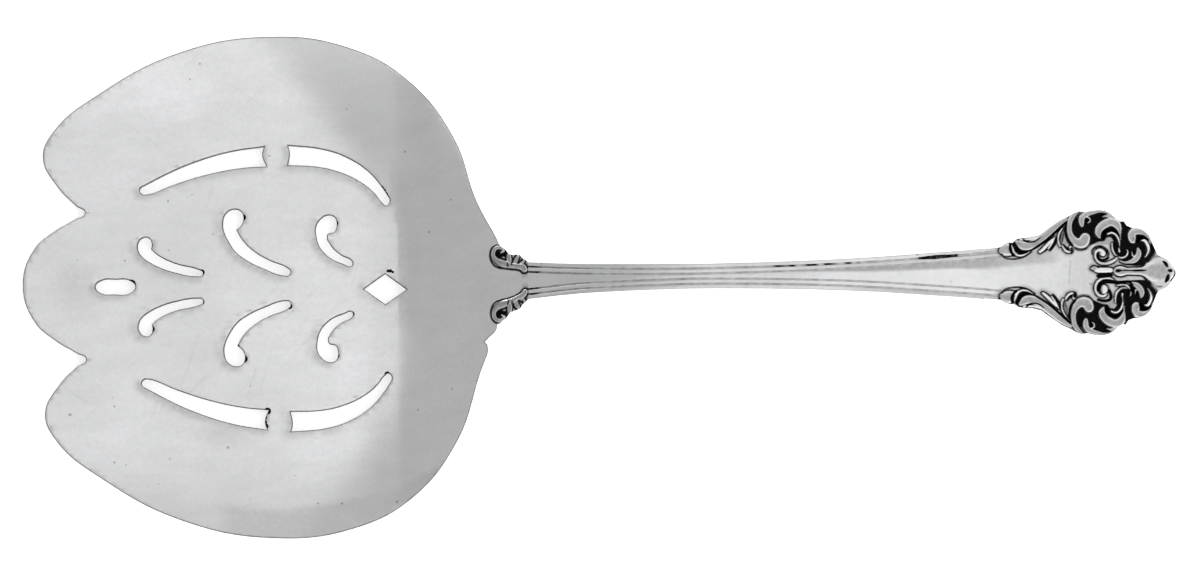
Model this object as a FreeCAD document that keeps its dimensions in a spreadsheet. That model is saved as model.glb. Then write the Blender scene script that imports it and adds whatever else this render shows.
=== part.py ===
# Sardine server: a pierced serving blade turned up at its sides and back, an arched handle with threaded edges,
# and a flat end of scroll work. The real thing is one piece of silver, so the model is one solid.
# Millimetres. X runs along the length with the blade towards -X, Z is up, and the server stands as on a table:
# on the floor of the blade and on the end of the handle. Both sides of the XZ plane are alike.
import FreeCAD, Part
import math
import os
import Sketcher

V = FreeCAD.Vector
doc = FreeCAD.newDocument("sardine_server")

# Driving sizes, then the ones that follow from them
sheet = doc.addObject("Spreadsheet::Sheet", "Sizes")
driving_sizes = [
    ("floor_length", 47.0, "front point of the blade to the bend, where it turns up"),
    ("rise_length", 14.0, "bend to the shoulders, where the stem leaves the blade"),
    ("stem_length", 63.0, "shoulders to the plate of scroll work"),
    ("end_length", 22.0, "length of the plate of scroll work"),
    ("blade_width", 63.6, "widest, across the lobes"),
    ("blade_gauge", 1.3, "thickness of the blade"),
    ("side_width", 11.8, "turned-up strip along each long side"),
    ("side_rise", 2.4, "height of the side edges over the floor"),
    ("bend_radius", 14.0, "curve of the bend behind the floor"),
    ("neck_slope", 21.0, "degrees, rise of the metal behind the bend"),
    ("ramp_length", 10.8, "straight rise between the bend and the arch"),
    ("arch_radius", 62.0, "curve of the handle up to the top of its arch"),
    ("rest_rise", 0.2, "height of the end's back over the table"),
    ("narrow_place", 23.0, "shoulders to the narrowest place of the stem"),
    ("start_panel", 2.1, "plain strip between the threads at the shoulders"),
    ("narrow_panel", 0.55, "plain strip where the stem is narrowest"),
    ("end_panel", 5.2, "plain strip at the scroll work"),
    ("stem_gauge", 2.3, "thickness of the stem at its axis"),
    ("thread_width", 0.5, "width of each of the two threads along an edge"),
    ("thread_gap", 0.14, "width of the groove beside a thread"),
    ("thread_depth", 0.3, "depth of that groove"),
    ("end_width", 15.0, "width of the plate under the scrolls"),
    ("end_gauge", 1.6, "thickness of that plate"),
    ("scroll_relief", 0.8, "height of the scrolls over their plate"),
    ("slot_reach", 18.0, "distance of the outer slots from the axis"),
    ("slot_width", 2.2, "width of the outer slots at their wide ends"),
    ("slot_gap", 2.8, "bar of metal between the two outer slots"),
    ("comma_reach", 9.9, "distance of the highest comma hole from the axis"),
    ("eye_length", 5.2, "length of the oval hole at the front"),
    ("eye_width", 1.8, "width of the oval hole"),
    ("diamond_length", 5.6, "length of the diamond hole at the bend"),
    ("diamond_width", 3.9, "width of the diamond hole"),
]
following_sizes = [
    ("blade_length", "=floor_length + rise_length", "front point to the shoulders"),
    ("overall_length", "=blade_length + stem_length + end_length", "front point to the end of the handle"),
    ("front", "=-overall_length / 2", "place of the front point"),
    ("tip", "=overall_length / 2", "place of the end of the handle"),
    ("bend", "=front + floor_length", "place of the bend"),
    ("shoulder", "=front + blade_length", "place of the shoulders"),
    ("plate_start", "=tip - end_length", "place where the plate of scroll work starts"),
    ("eye_place", "=front + 0.249 * floor_length", "middle of the oval hole"),
    ("diamond_place", "=front + 0.977 * floor_length", "middle of the diamond hole"),
    ("saw_room", "2.0", "how far the cutting tools pass the metal"),
]
for row, (alias, amount, meaning) in enumerate(driving_sizes + following_sizes, 1):
    sheet.set("A%d" % row, alias)
    sheet.set("B%d" % row, str(amount))
    sheet.set("C%d" % row, meaning)
    sheet.setAlias("B%d" % row, alias)
doc.recompute()


def size(alias):
    return float(sheet.get(alias))


floor_length, blade_length, end_length = size("floor_length"), size("blade_length"), size("end_length")
front, tip, bend, shoulder = size("front"), size("tip"), size("bend"), size("shoulder")
plate_start = size("plate_start")
half_width = size("blade_width") / 2
blade_gauge, stem_gauge, end_gauge = size("blade_gauge"), size("stem_gauge"), size("end_gauge")
slope = math.radians(size("neck_slope"))
saw_room = size("saw_room")

# The middle line of the metal seen from the side: floor, bend, ramp, rising arch, falling arch
bend_radius = size("bend_radius")
arch_radius = size("arch_radius")
bend_end = bend + bend_radius * math.sin(slope)
arch_start = bend_end + size("ramp_length")
arch_top = arch_start + arch_radius * math.sin(slope)
ramp_foot = blade_gauge / 2 + bend_radius * (1 - math.cos(slope))
ramp_head = ramp_foot + size("ramp_length") * math.tan(slope)
top_height = ramp_head + arch_radius * (1 - math.cos(slope))
fall = top_height - end_gauge / 2 - size("rest_rise")
reach = tip - arch_top
fall_radius = (reach ** 2 + fall ** 2) / (2 * fall)


def middle_height(x):
    if x <= bend:
        return blade_gauge / 2
    if x <= bend_end:
        return blade_gauge / 2 + bend_radius - math.sqrt(bend_radius ** 2 - (x - bend) ** 2)
    if x <= arch_start:
        return ramp_foot + (x - bend_end) * math.tan(slope)
    radius = arch_radius if x <= arch_top else fall_radius
    return top_height - radius + math.sqrt(radius ** 2 - (x - arch_top) ** 2)


def on_fall(x, over):
    radius = fall_radius + over
    return (x, top_height - fall_radius + math.sqrt(radius ** 2 - (x - arch_top) ** 2), 0)


def face_height(x):
    if x > plate_start - saw_room:
        return on_fall(x, end_gauge / 2)[1]
    return middle_height(x) + blade_gauge / 2


# Sketch helpers
def origin_plane(body, role):
    return [feature for feature in body.Origin.OriginFeatures if feature.Role == role][0]


def new_sketch(body, name, role):
    sketch = body.newObject("Sketcher::SketchObject", name)
    sketch.AttachmentSupport = [(origin_plane(body, role), "")]
    sketch.MapMode = "FlatFace"
    return sketch


def line(a, b):
    return Part.LineSegment(V(*a), V(*b))


def arc(a, middle, b):
    return Part.Arc(V(*a), V(*middle), V(*b))


def curve(points):
    spline = Part.BSplineCurve()
    spline.interpolate([V(*point) for point in points])
    return spline


def flat(points):
    return [(x, y, 0.0) for x, y in points]


def flipped(points):
    return [(x, -y) for x, y in reversed(points)]


def draw_ring(sketch, points):
    for here, there in zip(points, points[1:] + points[:1]):
        sketch.addGeometry(line(here, there))


def draw_arcs(sketch, points):
    ring = [(x, y, 0.0) for x, y in points]
    for i in range(0, len(ring), 2):
        sketch.addGeometry(arc(ring[i], ring[i + 1], ring[(i + 2) % len(ring)]))


def cut_through(body, sketch, name):
    doc.recompute()
    before = body.Shape.Volume
    pocket = body.newObject("PartDesign::Pocket", name)
    pocket.Profile = sketch
    pocket.Type = 1
    pocket.Midplane = True
    doc.recompute()
    if body.Shape.Volume >= before:
        raise RuntimeError(name + " cuts nothing")
    return pocket


# Blade: a sheet swept along the floor and up the ramp, with its long sides turned up
blade = doc.addObject("PartDesign::Body", "Blade")
path = new_sketch(blade, "BladePath", "XZ_Plane")
mid = blade_gauge / 2
sweep_start = front - saw_room
sweep_end = front + 1.12 * blade_length
half_turn = (bend + bend_radius * math.sin(slope / 2), mid + bend_radius * (1 - math.cos(slope / 2)), 0)
ramp_start = (bend_end, ramp_foot, 0)
path.addGeometry(line((sweep_start, mid, 0), (bend, mid, 0)))
path.addGeometry(arc((bend, mid, 0), half_turn, ramp_start))
path.addGeometry(line(ramp_start, (sweep_end, ramp_foot + (sweep_end - bend_end) * math.tan(slope), 0)))

section = new_sketch(blade, "BladeSection", "YZ_Plane")
section.setExpression("AttachmentOffset.Base.z", "Sizes.front - Sizes.saw_room")
side_width, side_rise = size("side_width"), size("side_rise")
floor_half = half_width - side_width
side_radius = (side_width ** 2 + side_rise ** 2) / (2 * side_rise)
side_turn = math.asin(side_width / side_radius) * (1 + saw_room / side_width)


def on_side(sign, turn, radius):
    return (sign * (floor_half + radius * math.sin(turn)), side_radius - radius * math.cos(turn), 0)


inner_radius = side_radius - blade_gauge
section.addGeometry(line((-floor_half, 0, 0), (floor_half, 0, 0)))
section.addGeometry(line((-floor_half, blade_gauge, 0), (floor_half, blade_gauge, 0)))
for sign in (1, -1):
    for radius, foot in ((side_radius, 0), (inner_radius, blade_gauge)):
        side_middle, side_stop = on_side(sign, side_turn / 2, radius), on_side(sign, side_turn, radius)
        section.addGeometry(arc((sign * floor_half, foot, 0), side_middle, side_stop))
    section.addGeometry(line(on_side(sign, side_turn, side_radius), on_side(sign, side_turn, inner_radius)))
doc.recompute()
sheet_metal = blade.newObject("PartDesign::AdditivePipe", "BladeSheet")
sheet_metal.Profile = section
sheet_metal.Spine = path


# Plan of the blade: a pointed front, a notch each side of it, a wide lobe, and shoulders that run into the stem.
# Each point is a share of the blade's length and of its half width.
def on_blade(shares):
    return [(front + along * blade_length, across * half_width) for along, across in shares]


lip_half = on_blade([(0.0, 0.0), (0.024, 0.145), (0.064, 0.215), (0.125, 0.29)])
lobe = on_blade([(0.125, 0.31), (0.072, 0.40), (0.044, 0.51), (0.064, 0.61), (0.163, 0.77), (0.33, 0.935),
                 (0.52, 1.0), (0.68, 0.96), (0.80, 0.84), (0.90, 0.60), (0.945, 0.345), (0.985, 0.182)])
shoulders = on_blade([(0.985, 0.182), (1.01, 0.118), (1.03, 0.088), (1.05, 0.072)])
notch_depth = 0.35
plan = new_sketch(blade, "BladePlan", "XY_Plane")
plan.addGeometry(curve(flat(flipped(lip_half[1:]) + lip_half)))
for side in (1, -1):
    notch_root = (lip_half[-1][0] + notch_depth, side * (lip_half[-1][1] + lobe[0][1]) / 2, 0)
    plan.addGeometry(arc((lip_half[-1][0], side * lip_half[-1][1], 0), notch_root, (lobe[0][0], side * lobe[0][1], 0)))
    plan.addGeometry(curve([(x, side * y, 0) for x, y in lobe]))
    plan.addGeometry(curve([(x, side * y, 0) for x, y in shoulders]))
plan.addGeometry(line((*shoulders[-1], 0), (shoulders[-1][0], -shoulders[-1][1], 0)))
rim = half_width + 2 * saw_room
draw_ring(plan, [(front - rim, -rim, 0), (tip, -rim, 0), (tip, rim, 0), (front - rim, rim, 0)])
cut_through(blade, plan, "BladeOutline")

# Outer slots: two bent slots each side, wide and bracket-ended where they meet, narrow at their far ends
slot_reach, slot_width, slot_gap = size("slot_reach"), size("slot_width"), size("slot_gap")
slot_low = slot_reach - slot_width
slot_middle = front + 0.69 * floor_length
before_gap, behind_gap = slot_middle - slot_gap / 2, slot_middle + slot_gap / 2
narrow_front, narrow_back = front + 0.317 * floor_length, front + 0.988 * floor_length
bracket = 0.35
slots = new_sketch(blade, "OuterSlots", "XY_Plane")
draw_arcs(slots, [
    (narrow_front + 0.7, 0.73 * slot_reach), ((narrow_front + before_gap) / 2, 0.893 * slot_reach),
    (before_gap, slot_reach), (before_gap - bracket, slot_reach - slot_width / 2),
    (before_gap, slot_low), (narrow_front * 0.45 + before_gap * 0.55, 0.80 * slot_reach),
    (narrow_front + 0.6, 0.665 * slot_reach), (narrow_front, 0.692 * slot_reach)])
draw_arcs(slots, [
    (behind_gap, slot_reach), (behind_gap * 0.4 + narrow_back * 0.6, 0.90 * slot_reach),
    (narrow_back, 0.617 * slot_reach), (narrow_back, 0.583 * slot_reach),
    (narrow_back - 0.6, 0.597 * slot_reach), (behind_gap * 0.47 + narrow_back * 0.53, 0.81 * slot_reach),
    (behind_gap, slot_low), (behind_gap + bracket, slot_reach - slot_width / 2)])
slot_cut = cut_through(blade, slots, "OuterSlotCut")

# Comma holes: head, cusp, inner edge, tail and belly, each arc from a corner over a middle point to the next corner
comma_reach = size("comma_reach")
comma_shares = [
    [(0.311, 0.511), (0.332, 0.652), (0.353, 0.498), (0.409, 0.315), (0.487, 0.230), (0.493, 0.190),
     (0.485, 0.149), (0.385, 0.230)],
    [(0.540, 0.780), (0.568, 1.003), (0.581, 0.745), (0.638, 0.409), (0.721, 0.263), (0.728, 0.217),
     (0.719, 0.172), (0.598, 0.384)],
    [(0.789, 0.690), (0.821, 0.945), (0.822, 0.657), (0.848, 0.465), (0.888, 0.354), (0.893, 0.308),
     (0.883, 0.263), (0.818, 0.414)],
]
commas = new_sketch(blade, "CommaHoles", "XY_Plane")
for shares in comma_shares:
    draw_arcs(commas, [(front + along * floor_length, across * comma_reach) for along, across in shares])
comma_cut = cut_through(blade, commas, "CommaCut")
other_side = blade.newObject("PartDesign::Mirrored", "OtherSideHoles")
other_side.Originals = [slot_cut, comma_cut]
other_side.MirrorPlane = (origin_plane(blade, "XZ_Plane"), [""])
blade.Tip = other_side

# Holes on the axis: an oval eye behind the front point, and a diamond across the bend
eye = new_sketch(blade, "Eye", "XY_Plane")
eye_place, eye_half = size("eye_place"), size("eye_width") / 2
straight = size("eye_length") / 2 - eye_half
eye.addGeometry(line((eye_place - straight, eye_half, 0), (eye_place + straight, eye_half, 0)))
eye.addGeometry(arc((eye_place + straight, eye_half, 0), (eye_place + straight + eye_half, 0, 0),
                    (eye_place + straight, -eye_half, 0)))
eye.addGeometry(line((eye_place + straight, -eye_half, 0), (eye_place - straight, -eye_half, 0)))
eye.addGeometry(arc((eye_place - straight, -eye_half, 0), (eye_place - straight - eye_half, 0, 0),
                    (eye_place - straight, eye_half, 0)))
cut_through(blade, eye, "EyeCut")

diamond = new_sketch(blade, "Diamond", "XY_Plane")
diamond_place = size("diamond_place")
half_long, half_tall = size("diamond_length") / 2, size("diamond_width") / 2
draw_ring(diamond, [(diamond_place - half_long, 0, 0), (diamond_place, half_tall, 0),
                    (diamond_place + half_long, 0, 0), (diamond_place, -half_tall, 0)])
for corner in range(4):
    diamond.addConstraint(Sketcher.Constraint("Coincident", corner, 2, (corner + 1) % 4, 1))
diamond.addConstraint(Sketcher.Constraint("PointOnObject", 0, 1, -1))
diamond.addConstraint(Sketcher.Constraint("PointOnObject", 2, 1, -1))
diamond.addConstraint(Sketcher.Constraint("Symmetric", 1, 1, 3, 1, -1))
long_way = diamond.addConstraint(Sketcher.Constraint("DistanceX", 0, 1, 2, 1, 2 * half_long))
tall_way = diamond.addConstraint(Sketcher.Constraint("DistanceY", 3, 1, 1, 1, 2 * half_tall))
diamond.setExpression("Constraints[%d]" % long_way, "Sizes.diamond_length")
diamond.setExpression("Constraints[%d]" % tall_way, "Sizes.diamond_width")
cut_through(blade, diamond, "DiamondCut")

# Handle: grows out of the blade, is narrowest ahead of its middle, and widens towards the scroll work.
# Two threads run along each edge of its face, with a plain panel between them. Its back is bevelled.
thread, gap, depth = size("thread_width"), size("thread_gap"), size("thread_depth")
narrow_at = shoulder + size("narrow_place")
start_panel, narrow_panel, end_panel = size("start_panel"), size("narrow_panel"), size("end_panel")
# place, plain panel, height of the face and depth of the back from the middle line; the first section is hidden in
# the blade, and the face then leaves the blade's face smoothly while the back thickens into a heel
half_blade, half_stem, half_end = blade_gauge / 2, stem_gauge / 2, end_gauge / 2
stem_stations = [
    (shoulder - 3.0, 0.5 * start_panel, 0.8 * half_blade, 0.8 * half_blade),
    (shoulder + 0.5, 0.95 * start_panel, 0.9 * half_blade, half_blade + 0.5 * (half_stem - half_blade)),
    (shoulder + 3.0, start_panel, half_blade + 0.3 * depth, half_stem),
]
for share, swell in ((0.25, 0.62), (0.5, 0.27), (0.75, 0.07), (1.0, 0.0)):
    stem_stations.append((shoulder + share * (narrow_at - shoulder),
                          narrow_panel + swell * (start_panel - narrow_panel), half_stem, half_stem))
for share, swell in ((0.25, 0.04), (0.5, 0.18), (0.74, 0.48), (0.92, 0.78), (1.03, 1.0)):
    half_gauge = half_stem + share * (half_end - half_stem)
    stem_stations.append((narrow_at + share * (plate_start - narrow_at),
                          narrow_panel + swell * (end_panel - narrow_panel), half_gauge, half_gauge))


def stem_outline(panel, face, height, back):
    low = face - depth
    d = panel / 2
    c = d + gap
    b = c + thread
    a = b + gap
    edge = a + thread
    rounding = thread * 0.25
    half_face = [(d * 0.5, low + depth * 0.8), (d, low), (c, low), (c + rounding, face), (b - rounding, face),
                 (b, low), (a, low), (a + rounding, face), (edge - rounding, face), (edge, low),
                 (edge, height), (edge * 0.62, back)]
    return [(y, z, 0) for y, z in half_face] + [(-y, z, 0) for y, z in reversed(half_face)]


handle = doc.addObject("PartDesign::Body", "Handle")
stem_sections = []
for number, (x, panel, over, under) in enumerate(stem_stations, 1):
    station = new_sketch(handle, "StemSection%d" % number, "YZ_Plane")
    station.AttachmentOffset = FreeCAD.Placement(V(0, 0, x), FreeCAD.Rotation())
    height = middle_height(x)
    draw_ring(station, stem_outline(panel, height + over, height, height - under))
    stem_sections.append(station)
doc.recompute()
stem = handle.newObject("PartDesign::AdditiveLoft", "Stem")
stem.Profile = stem_sections[0]
stem.Sections = stem_sections[1:]
doc.recompute()

# End plate: the ground of the scroll work, which follows the fall of the handle
end_plate = doc.addObject("PartDesign::Body", "EndPlate")
end_width = size("end_width")
plate_from, plate_to = plate_start - 0.4, tip - 0.25
plate_middle = (plate_from + plate_to) / 2
side_view = new_sketch(end_plate, "EndPlateSide", "XZ_Plane")
side_view.addGeometry(arc(on_fall(plate_from, half_end), on_fall(plate_middle, half_end), on_fall(plate_to, half_end)))
side_view.addGeometry(line(on_fall(plate_to, half_end), on_fall(plate_to, -half_end)))
side_view.addGeometry(arc(on_fall(plate_to, -half_end), on_fall(plate_middle, -half_end),
                          on_fall(plate_from, -half_end)))
side_view.addGeometry(line(on_fall(plate_from, -half_end), on_fall(plate_from, half_end)))
doc.recompute()
ground = end_plate.newObject("PartDesign::Pad", "EndGround")
ground.Profile = side_view
ground.Midplane = True
ground.setExpression("Length", "Sizes.end_width + 2 * Sizes.saw_room")
end_shares = [(-0.03, 0.47), (0.09, 0.50), (0.19, 0.52), (0.27, 0.67), (0.385, 0.93), (0.46, 0.985), (0.56, 1.0),
              (0.64, 0.95), (0.69, 0.83), (0.76, 0.71), (0.82, 0.62), (0.87, 0.42), (0.93, 0.22), (0.985, 0.0)]
end_points = [(plate_start + along * end_length, across * end_width / 2) for along, across in end_shares]
end_plan = new_sketch(end_plate, "EndPlan", "XY_Plane")
end_plan.addGeometry(curve(flat(end_points + flipped(end_points[:-1]))))
end_plan.addGeometry(line((*end_points[0], 0), (end_points[0][0], -end_points[0][1], 0)))
draw_ring(end_plan, [(plate_from - saw_room, -end_width, 0), (tip + saw_room, -end_width, 0),
                     (tip + saw_room, end_width, 0), (plate_from - saw_room, end_width, 0)])
cut_through(end_plate, end_plan, "EndOutline")

# Scroll work. Each scroll is a ridge with sloping flanks along a bent middle line, and each of its points has a
# distance from the handle's tip, a distance from the axis and a half width, drawn for a plate 22 long and 15 wide.
drawn_length, drawn_width = 22.0, 15.0
stretch, spread = end_length / drawn_length, end_width / drawn_width
relief = size("scroll_relief")
root = 0.45
crest, foot_flare = 0.5, 1.12


def trapezoid(x, y, side, half, top):
    foot = face_height(x) - root
    corners = []
    for across, z in ((-foot_flare, foot), (-crest, top), (crest, top), (foot_flare, foot)):
        corners.append(V(x, y, z) + side * (across * half))
    return Part.makePolygon(corners + corners[:1])


def ridge(name, points, height):
    middle = Part.BSplineCurve()
    middle.interpolate([V(x, y, 0) for x, y, half in points])
    widths = Part.BSplineCurve()
    widths.interpolate([V(i, half, 0) for i, (x, y, half) in enumerate(points)])
    widest = max(half for x, y, half in points)
    knots = [middle.parameter(V(x, y, 0)) for x, y, half in points]
    places = [(knots[0], points[0][2])]
    for i in range(len(points) - 1):
        halfway = (points[i][2] + points[i + 1][2]) / 2
        places.append(((knots[i] + knots[i + 1]) / 2, halfway))
        places.append((knots[i + 1], points[i + 1][2]))
    sections = []
    for knot, half in places:
        spot, direction = middle.value(knot), V(*middle.tangent(knot)[0])
        top = face_height(spot.x) + height * (0.4 + 0.6 * half / widest)
        sections.append(trapezoid(spot.x, spot.y, V(-direction.y, direction.x, 0), half, top))
    scroll = doc.addObject("Part::Feature", name)
    scroll.Shape = Part.makeLoft(sections, True, True)
    return scroll


def on_end(points):
    return [(tip + back * stretch, across * spread, half * spread) for back, across, half in points]


def on_shoulder(points):
    return [(shoulder + along, across, half) for along, across, half in points]


end_scrolls = {
    "CollarLeaf": [(-22.7, 2.8, 0.35), (-22.0, 3.0, 0.75), (-21.2, 3.1, 0.7)],
    "BorderLeaf": [(-20.9, 3.3, 0.4), (-19.8, 3.5, 0.6), (-18.0, 3.8, 0.52), (-16.3, 4.9, 0.5), (-14.8, 6.1, 0.45),
                   (-13.4, 7.2, 0.25)],
    "SpringLeaf": [(-17.7, 2.7, 0.25), (-16.6, 3.4, 0.35), (-15.3, 4.6, 0.15)],
    "SmallCurl": [(-14.4, 5.3, 0.15), (-14.9, 4.2, 0.2), (-14.6, 3.2, 0.22), (-13.8, 2.5, 0.22), (-13.3, 3.0, 0.2)],
    "BigScroll": [(-12.4, 7.4, 0.2), (-13.3, 6.8, 0.38), (-13.7, 5.8, 0.42), (-13.6, 4.7, 0.5), (-13.0, 3.8, 0.6),
                  (-12.1, 3.5, 0.6), (-11.4, 3.8, 0.4)],
    "CrownLeaf": [(-11.8, 5.8, 0.25), (-12.2, 6.4, 0.4), (-11.8, 7.1, 0.45), (-10.9, 7.4, 0.4), (-9.7, 7.5, 0.3),
                  (-8.5, 7.3, 0.15)],
    "GreatCrescent": [(-9.7, 4.2, 0.25), (-10.0, 5.1, 0.48), (-9.5, 5.9, 0.58), (-8.5, 6.3, 0.62), (-7.5, 5.7, 0.55),
                      (-7.1, 4.5, 0.38), (-7.1, 3.3, 0.18)],
    "InnerHook": [(-8.8, 4.6, 0.22), (-8.2, 4.9, 0.25), (-7.6, 4.4, 0.22), (-7.4, 3.4, 0.16)],
    "Volute": [(-7.5, 1.4, 0.15), (-8.2, 0.95, 0.25), (-9.2, 0.9, 0.26), (-10.1, 1.5, 0.24), (-10.2, 2.3, 0.22),
               (-9.7, 3.0, 0.2)],
    "RingCurl": [(-8.1, 3.5, 0.15), (-8.2, 2.8, 0.18), (-7.8, 2.0, 0.2), (-7.1, 1.6, 0.2), (-6.4, 1.9, 0.2),
                 (-6.1, 2.6, 0.16)],
    "LilyLeaf": [(-4.9, 3.0, 0.2), (-4.6, 2.3, 0.32), (-4.8, 1.6, 0.4), (-5.5, 1.1, 0.35), (-6.6, 1.0, 0.2)],
    "RightScroll": [(-5.8, 4.2, 0.3), (-5.7, 4.9, 0.38), (-5.1, 5.2, 0.4), (-4.3, 5.0, 0.34), (-3.7, 4.5, 0.27),
                    (-3.2, 3.7, 0.18)],
    "RightCurl": [(-4.3, 3.9, 0.22), (-3.7, 3.4, 0.3), (-3.5, 2.7, 0.27), (-3.8, 1.8, 0.2), (-4.4, 0.9, 0.15)],
    "TipRay": [(-2.7, 2.7, 0.2), (-3.3, 1.8, 0.2), (-3.9, 1.0, 0.15)],
}
shoulder_scrolls = {
    "ShoulderScroll": [(-0.1, 4.3, 0.25), (-0.7, 4.8, 0.35), (-1.4, 4.5, 0.4), (-1.6, 3.8, 0.4), (-1.2, 3.1, 0.45),
                       (-0.4, 2.6, 0.48), (0.7, 2.3, 0.4), (1.6, 2.0, 0.36), (2.4, 1.5, 0.25)],
    "ShoulderLobe": [(0.4, 4.1, 0.35), (0.5, 3.4, 0.45), (0.3, 2.7, 0.4)],
    "StemLobe": [(1.6, 3.2, 0.3), (1.5, 2.8, 0.4), (1.2, 2.3, 0.3)],
}
half_scrolls = [ridge(name, on_end(points), relief) for name, points in end_scrolls.items()]
half_scrolls += [ridge(name, on_shoulder(points), relief) for name, points in shoulder_scrolls.items()]

# Beads that end the curled scrolls, slightly conical: distance from the tip, distance from the axis and radius
beads = {"BigScrollBead": (-11.6, 4.2, 0.95), "VoluteBead": (-9.1, 2.1, 0.55), "RightScrollBead": (-5.1, 4.3, 0.62)}
for name, (back, across, radius) in beads.items():
    x, y = tip + back * stretch, across * spread
    bead = doc.addObject("Part::Cone", name)
    bead.Radius1 = radius * spread
    bead.Radius2 = 0.7 * radius * spread
    bead.Height = 0.95 * relief + root
    bead.Placement.Base = V(x, y, face_height(x) - root)
    half_scrolls.append(bead)

# Shell and bar on the axis, between the two rows of scrolls: distance from the tip and half width
bar_points = [(-10.6, 0.45), (-9.4, 0.7), (-8.2, 0.5), (-6.7, 0.8), (-5.4, 0.62), (-4.2, 0.7), (-3.2, 1.0), (-2.4, 1.5),
              (-1.6, 1.7), (-0.9, 1.35), (-0.4, 0.8), (0.0, 0.3)]
bar_sections = []
for back, half in bar_points:
    x = tip + back * stretch
    bar_sections.append(trapezoid(x, 0, V(0, 1, 0), half * spread, face_height(x) + 0.75 * relief))
bar = doc.addObject("Part::Feature", "ShellAndBar")
bar.Shape = Part.makeLoft(bar_sections, True, True)

other_scrolls = []
for scroll in half_scrolls:
    other = doc.addObject("Part::Mirroring", scroll.Name + "OtherSide")
    other.Source = scroll
    other.Normal = V(0, 1, 0)
    other_scrolls.append(other)

# The whole server, one solid
server = doc.addObject("Part::MultiFuse", "Server")
server.Shapes = [blade, handle, end_plate, bar] + half_scrolls + other_scrolls
server.Label = "sardine_server"
doc.recompute()

for thing in doc.Objects:
    if "Invalid" in thing.State or "Error" in thing.State:
        raise RuntimeError(thing.Name + " failed")
if server.Shape.isNull() or not server.Shape.isValid():
    raise RuntimeError(server.Label + " has no valid shape")
print(server.Label, "solids", len(server.Shape.Solids), "volume", round(server.Shape.Volume, 1))
os.makedirs("parts", exist_ok=True)
server.Shape.exportStep("parts/%s.step" % server.Label)
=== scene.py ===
import math

import bmesh
import bpy
import numpy as np
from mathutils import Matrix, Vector, noise


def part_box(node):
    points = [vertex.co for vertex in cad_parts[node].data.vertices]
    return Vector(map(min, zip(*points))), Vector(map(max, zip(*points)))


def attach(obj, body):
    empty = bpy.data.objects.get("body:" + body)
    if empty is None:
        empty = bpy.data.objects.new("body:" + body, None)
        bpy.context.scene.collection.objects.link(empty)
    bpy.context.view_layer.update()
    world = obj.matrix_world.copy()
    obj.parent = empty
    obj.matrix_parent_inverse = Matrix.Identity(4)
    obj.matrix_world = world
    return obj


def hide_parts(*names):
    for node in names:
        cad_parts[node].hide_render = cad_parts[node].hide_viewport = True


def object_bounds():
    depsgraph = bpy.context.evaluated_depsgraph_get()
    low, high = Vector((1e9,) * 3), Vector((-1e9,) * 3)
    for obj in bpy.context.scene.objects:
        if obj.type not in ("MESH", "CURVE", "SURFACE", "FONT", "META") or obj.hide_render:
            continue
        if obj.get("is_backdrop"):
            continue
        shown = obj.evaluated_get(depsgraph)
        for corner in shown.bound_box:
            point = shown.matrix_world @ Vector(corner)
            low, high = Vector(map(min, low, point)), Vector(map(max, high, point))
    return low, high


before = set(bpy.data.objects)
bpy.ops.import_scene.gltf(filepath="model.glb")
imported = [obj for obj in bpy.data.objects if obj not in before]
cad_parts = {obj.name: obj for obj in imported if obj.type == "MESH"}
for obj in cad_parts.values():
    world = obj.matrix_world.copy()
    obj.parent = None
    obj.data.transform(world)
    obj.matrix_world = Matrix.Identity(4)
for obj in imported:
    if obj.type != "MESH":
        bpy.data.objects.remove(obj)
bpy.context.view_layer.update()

mm = 0.001
server_low, server_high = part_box("sardine_server")

# Blade: sheet silver cut to its outline and pierced with a saw, then turned up at the sides and bent up at
# the back over a form, and rubbed round at every edge. The corners of the back are raised a little more.
# The side view is the solid's own: floor, bend, ramp and arch, and a long falling curve to the tip.
front, tip = server_low.x / mm, server_high.x / mm
half_width = server_high.y / mm
floor_length, blade_length, end_length = 47.0, 61.0, 22.0
blade_gauge, stem_gauge, end_gauge = 1.3, 2.3, 1.6
side_width, side_rise = 11.8, 2.4
bend_radius, slope, ramp_length, arch_radius = 14.0, math.radians(21.0), 10.8, 62.0
rest_rise = 0.2
bend = front + floor_length
shoulder = front + blade_length
plate_start = tip - end_length
bend_end = bend + bend_radius * math.sin(slope)
arch_start = bend_end + ramp_length
arch_top = arch_start + arch_radius * math.sin(slope)
ramp_foot = blade_gauge / 2 + bend_radius * (1 - math.cos(slope))
ramp_head = ramp_foot + ramp_length * math.tan(slope)
top_height = ramp_head + arch_radius * (1 - math.cos(slope))
fall = top_height - end_gauge / 2 - rest_rise
fall_radius = ((tip - arch_top) ** 2 + fall ** 2) / (2 * fall)
side_radius = (side_width ** 2 + side_rise ** 2) / (2 * side_rise)


def middle_height(x):
    x = np.asarray(x, float)
    in_bend = np.clip(x - bend, 0, bend_radius * math.sin(slope))
    low = blade_gauge / 2 + bend_radius - np.sqrt(bend_radius ** 2 - in_bend ** 2)
    low = low + np.clip(x - bend_end, 0, ramp_length) * math.tan(slope)
    arched = np.clip(x, arch_start, arch_top) - arch_top
    rising = top_height - arch_radius + np.sqrt(arch_radius ** 2 - arched ** 2)
    past_top = np.maximum(x, arch_top) - arch_top
    falling = top_height - fall_radius + np.sqrt(fall_radius ** 2 - past_top ** 2)
    return np.where(x < arch_start, low, np.where(x < arch_top, rising, falling))


def eased(share):
    share = np.clip(share, 0, 1)
    return share * share * (3 - 2 * share)


def folded(distance, softness):
    # nothing before a fold line, the distance itself well past it, and a soft turn between
    return softness * np.logaddexp(0, distance / softness)


corner_slope = 0.2


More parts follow.
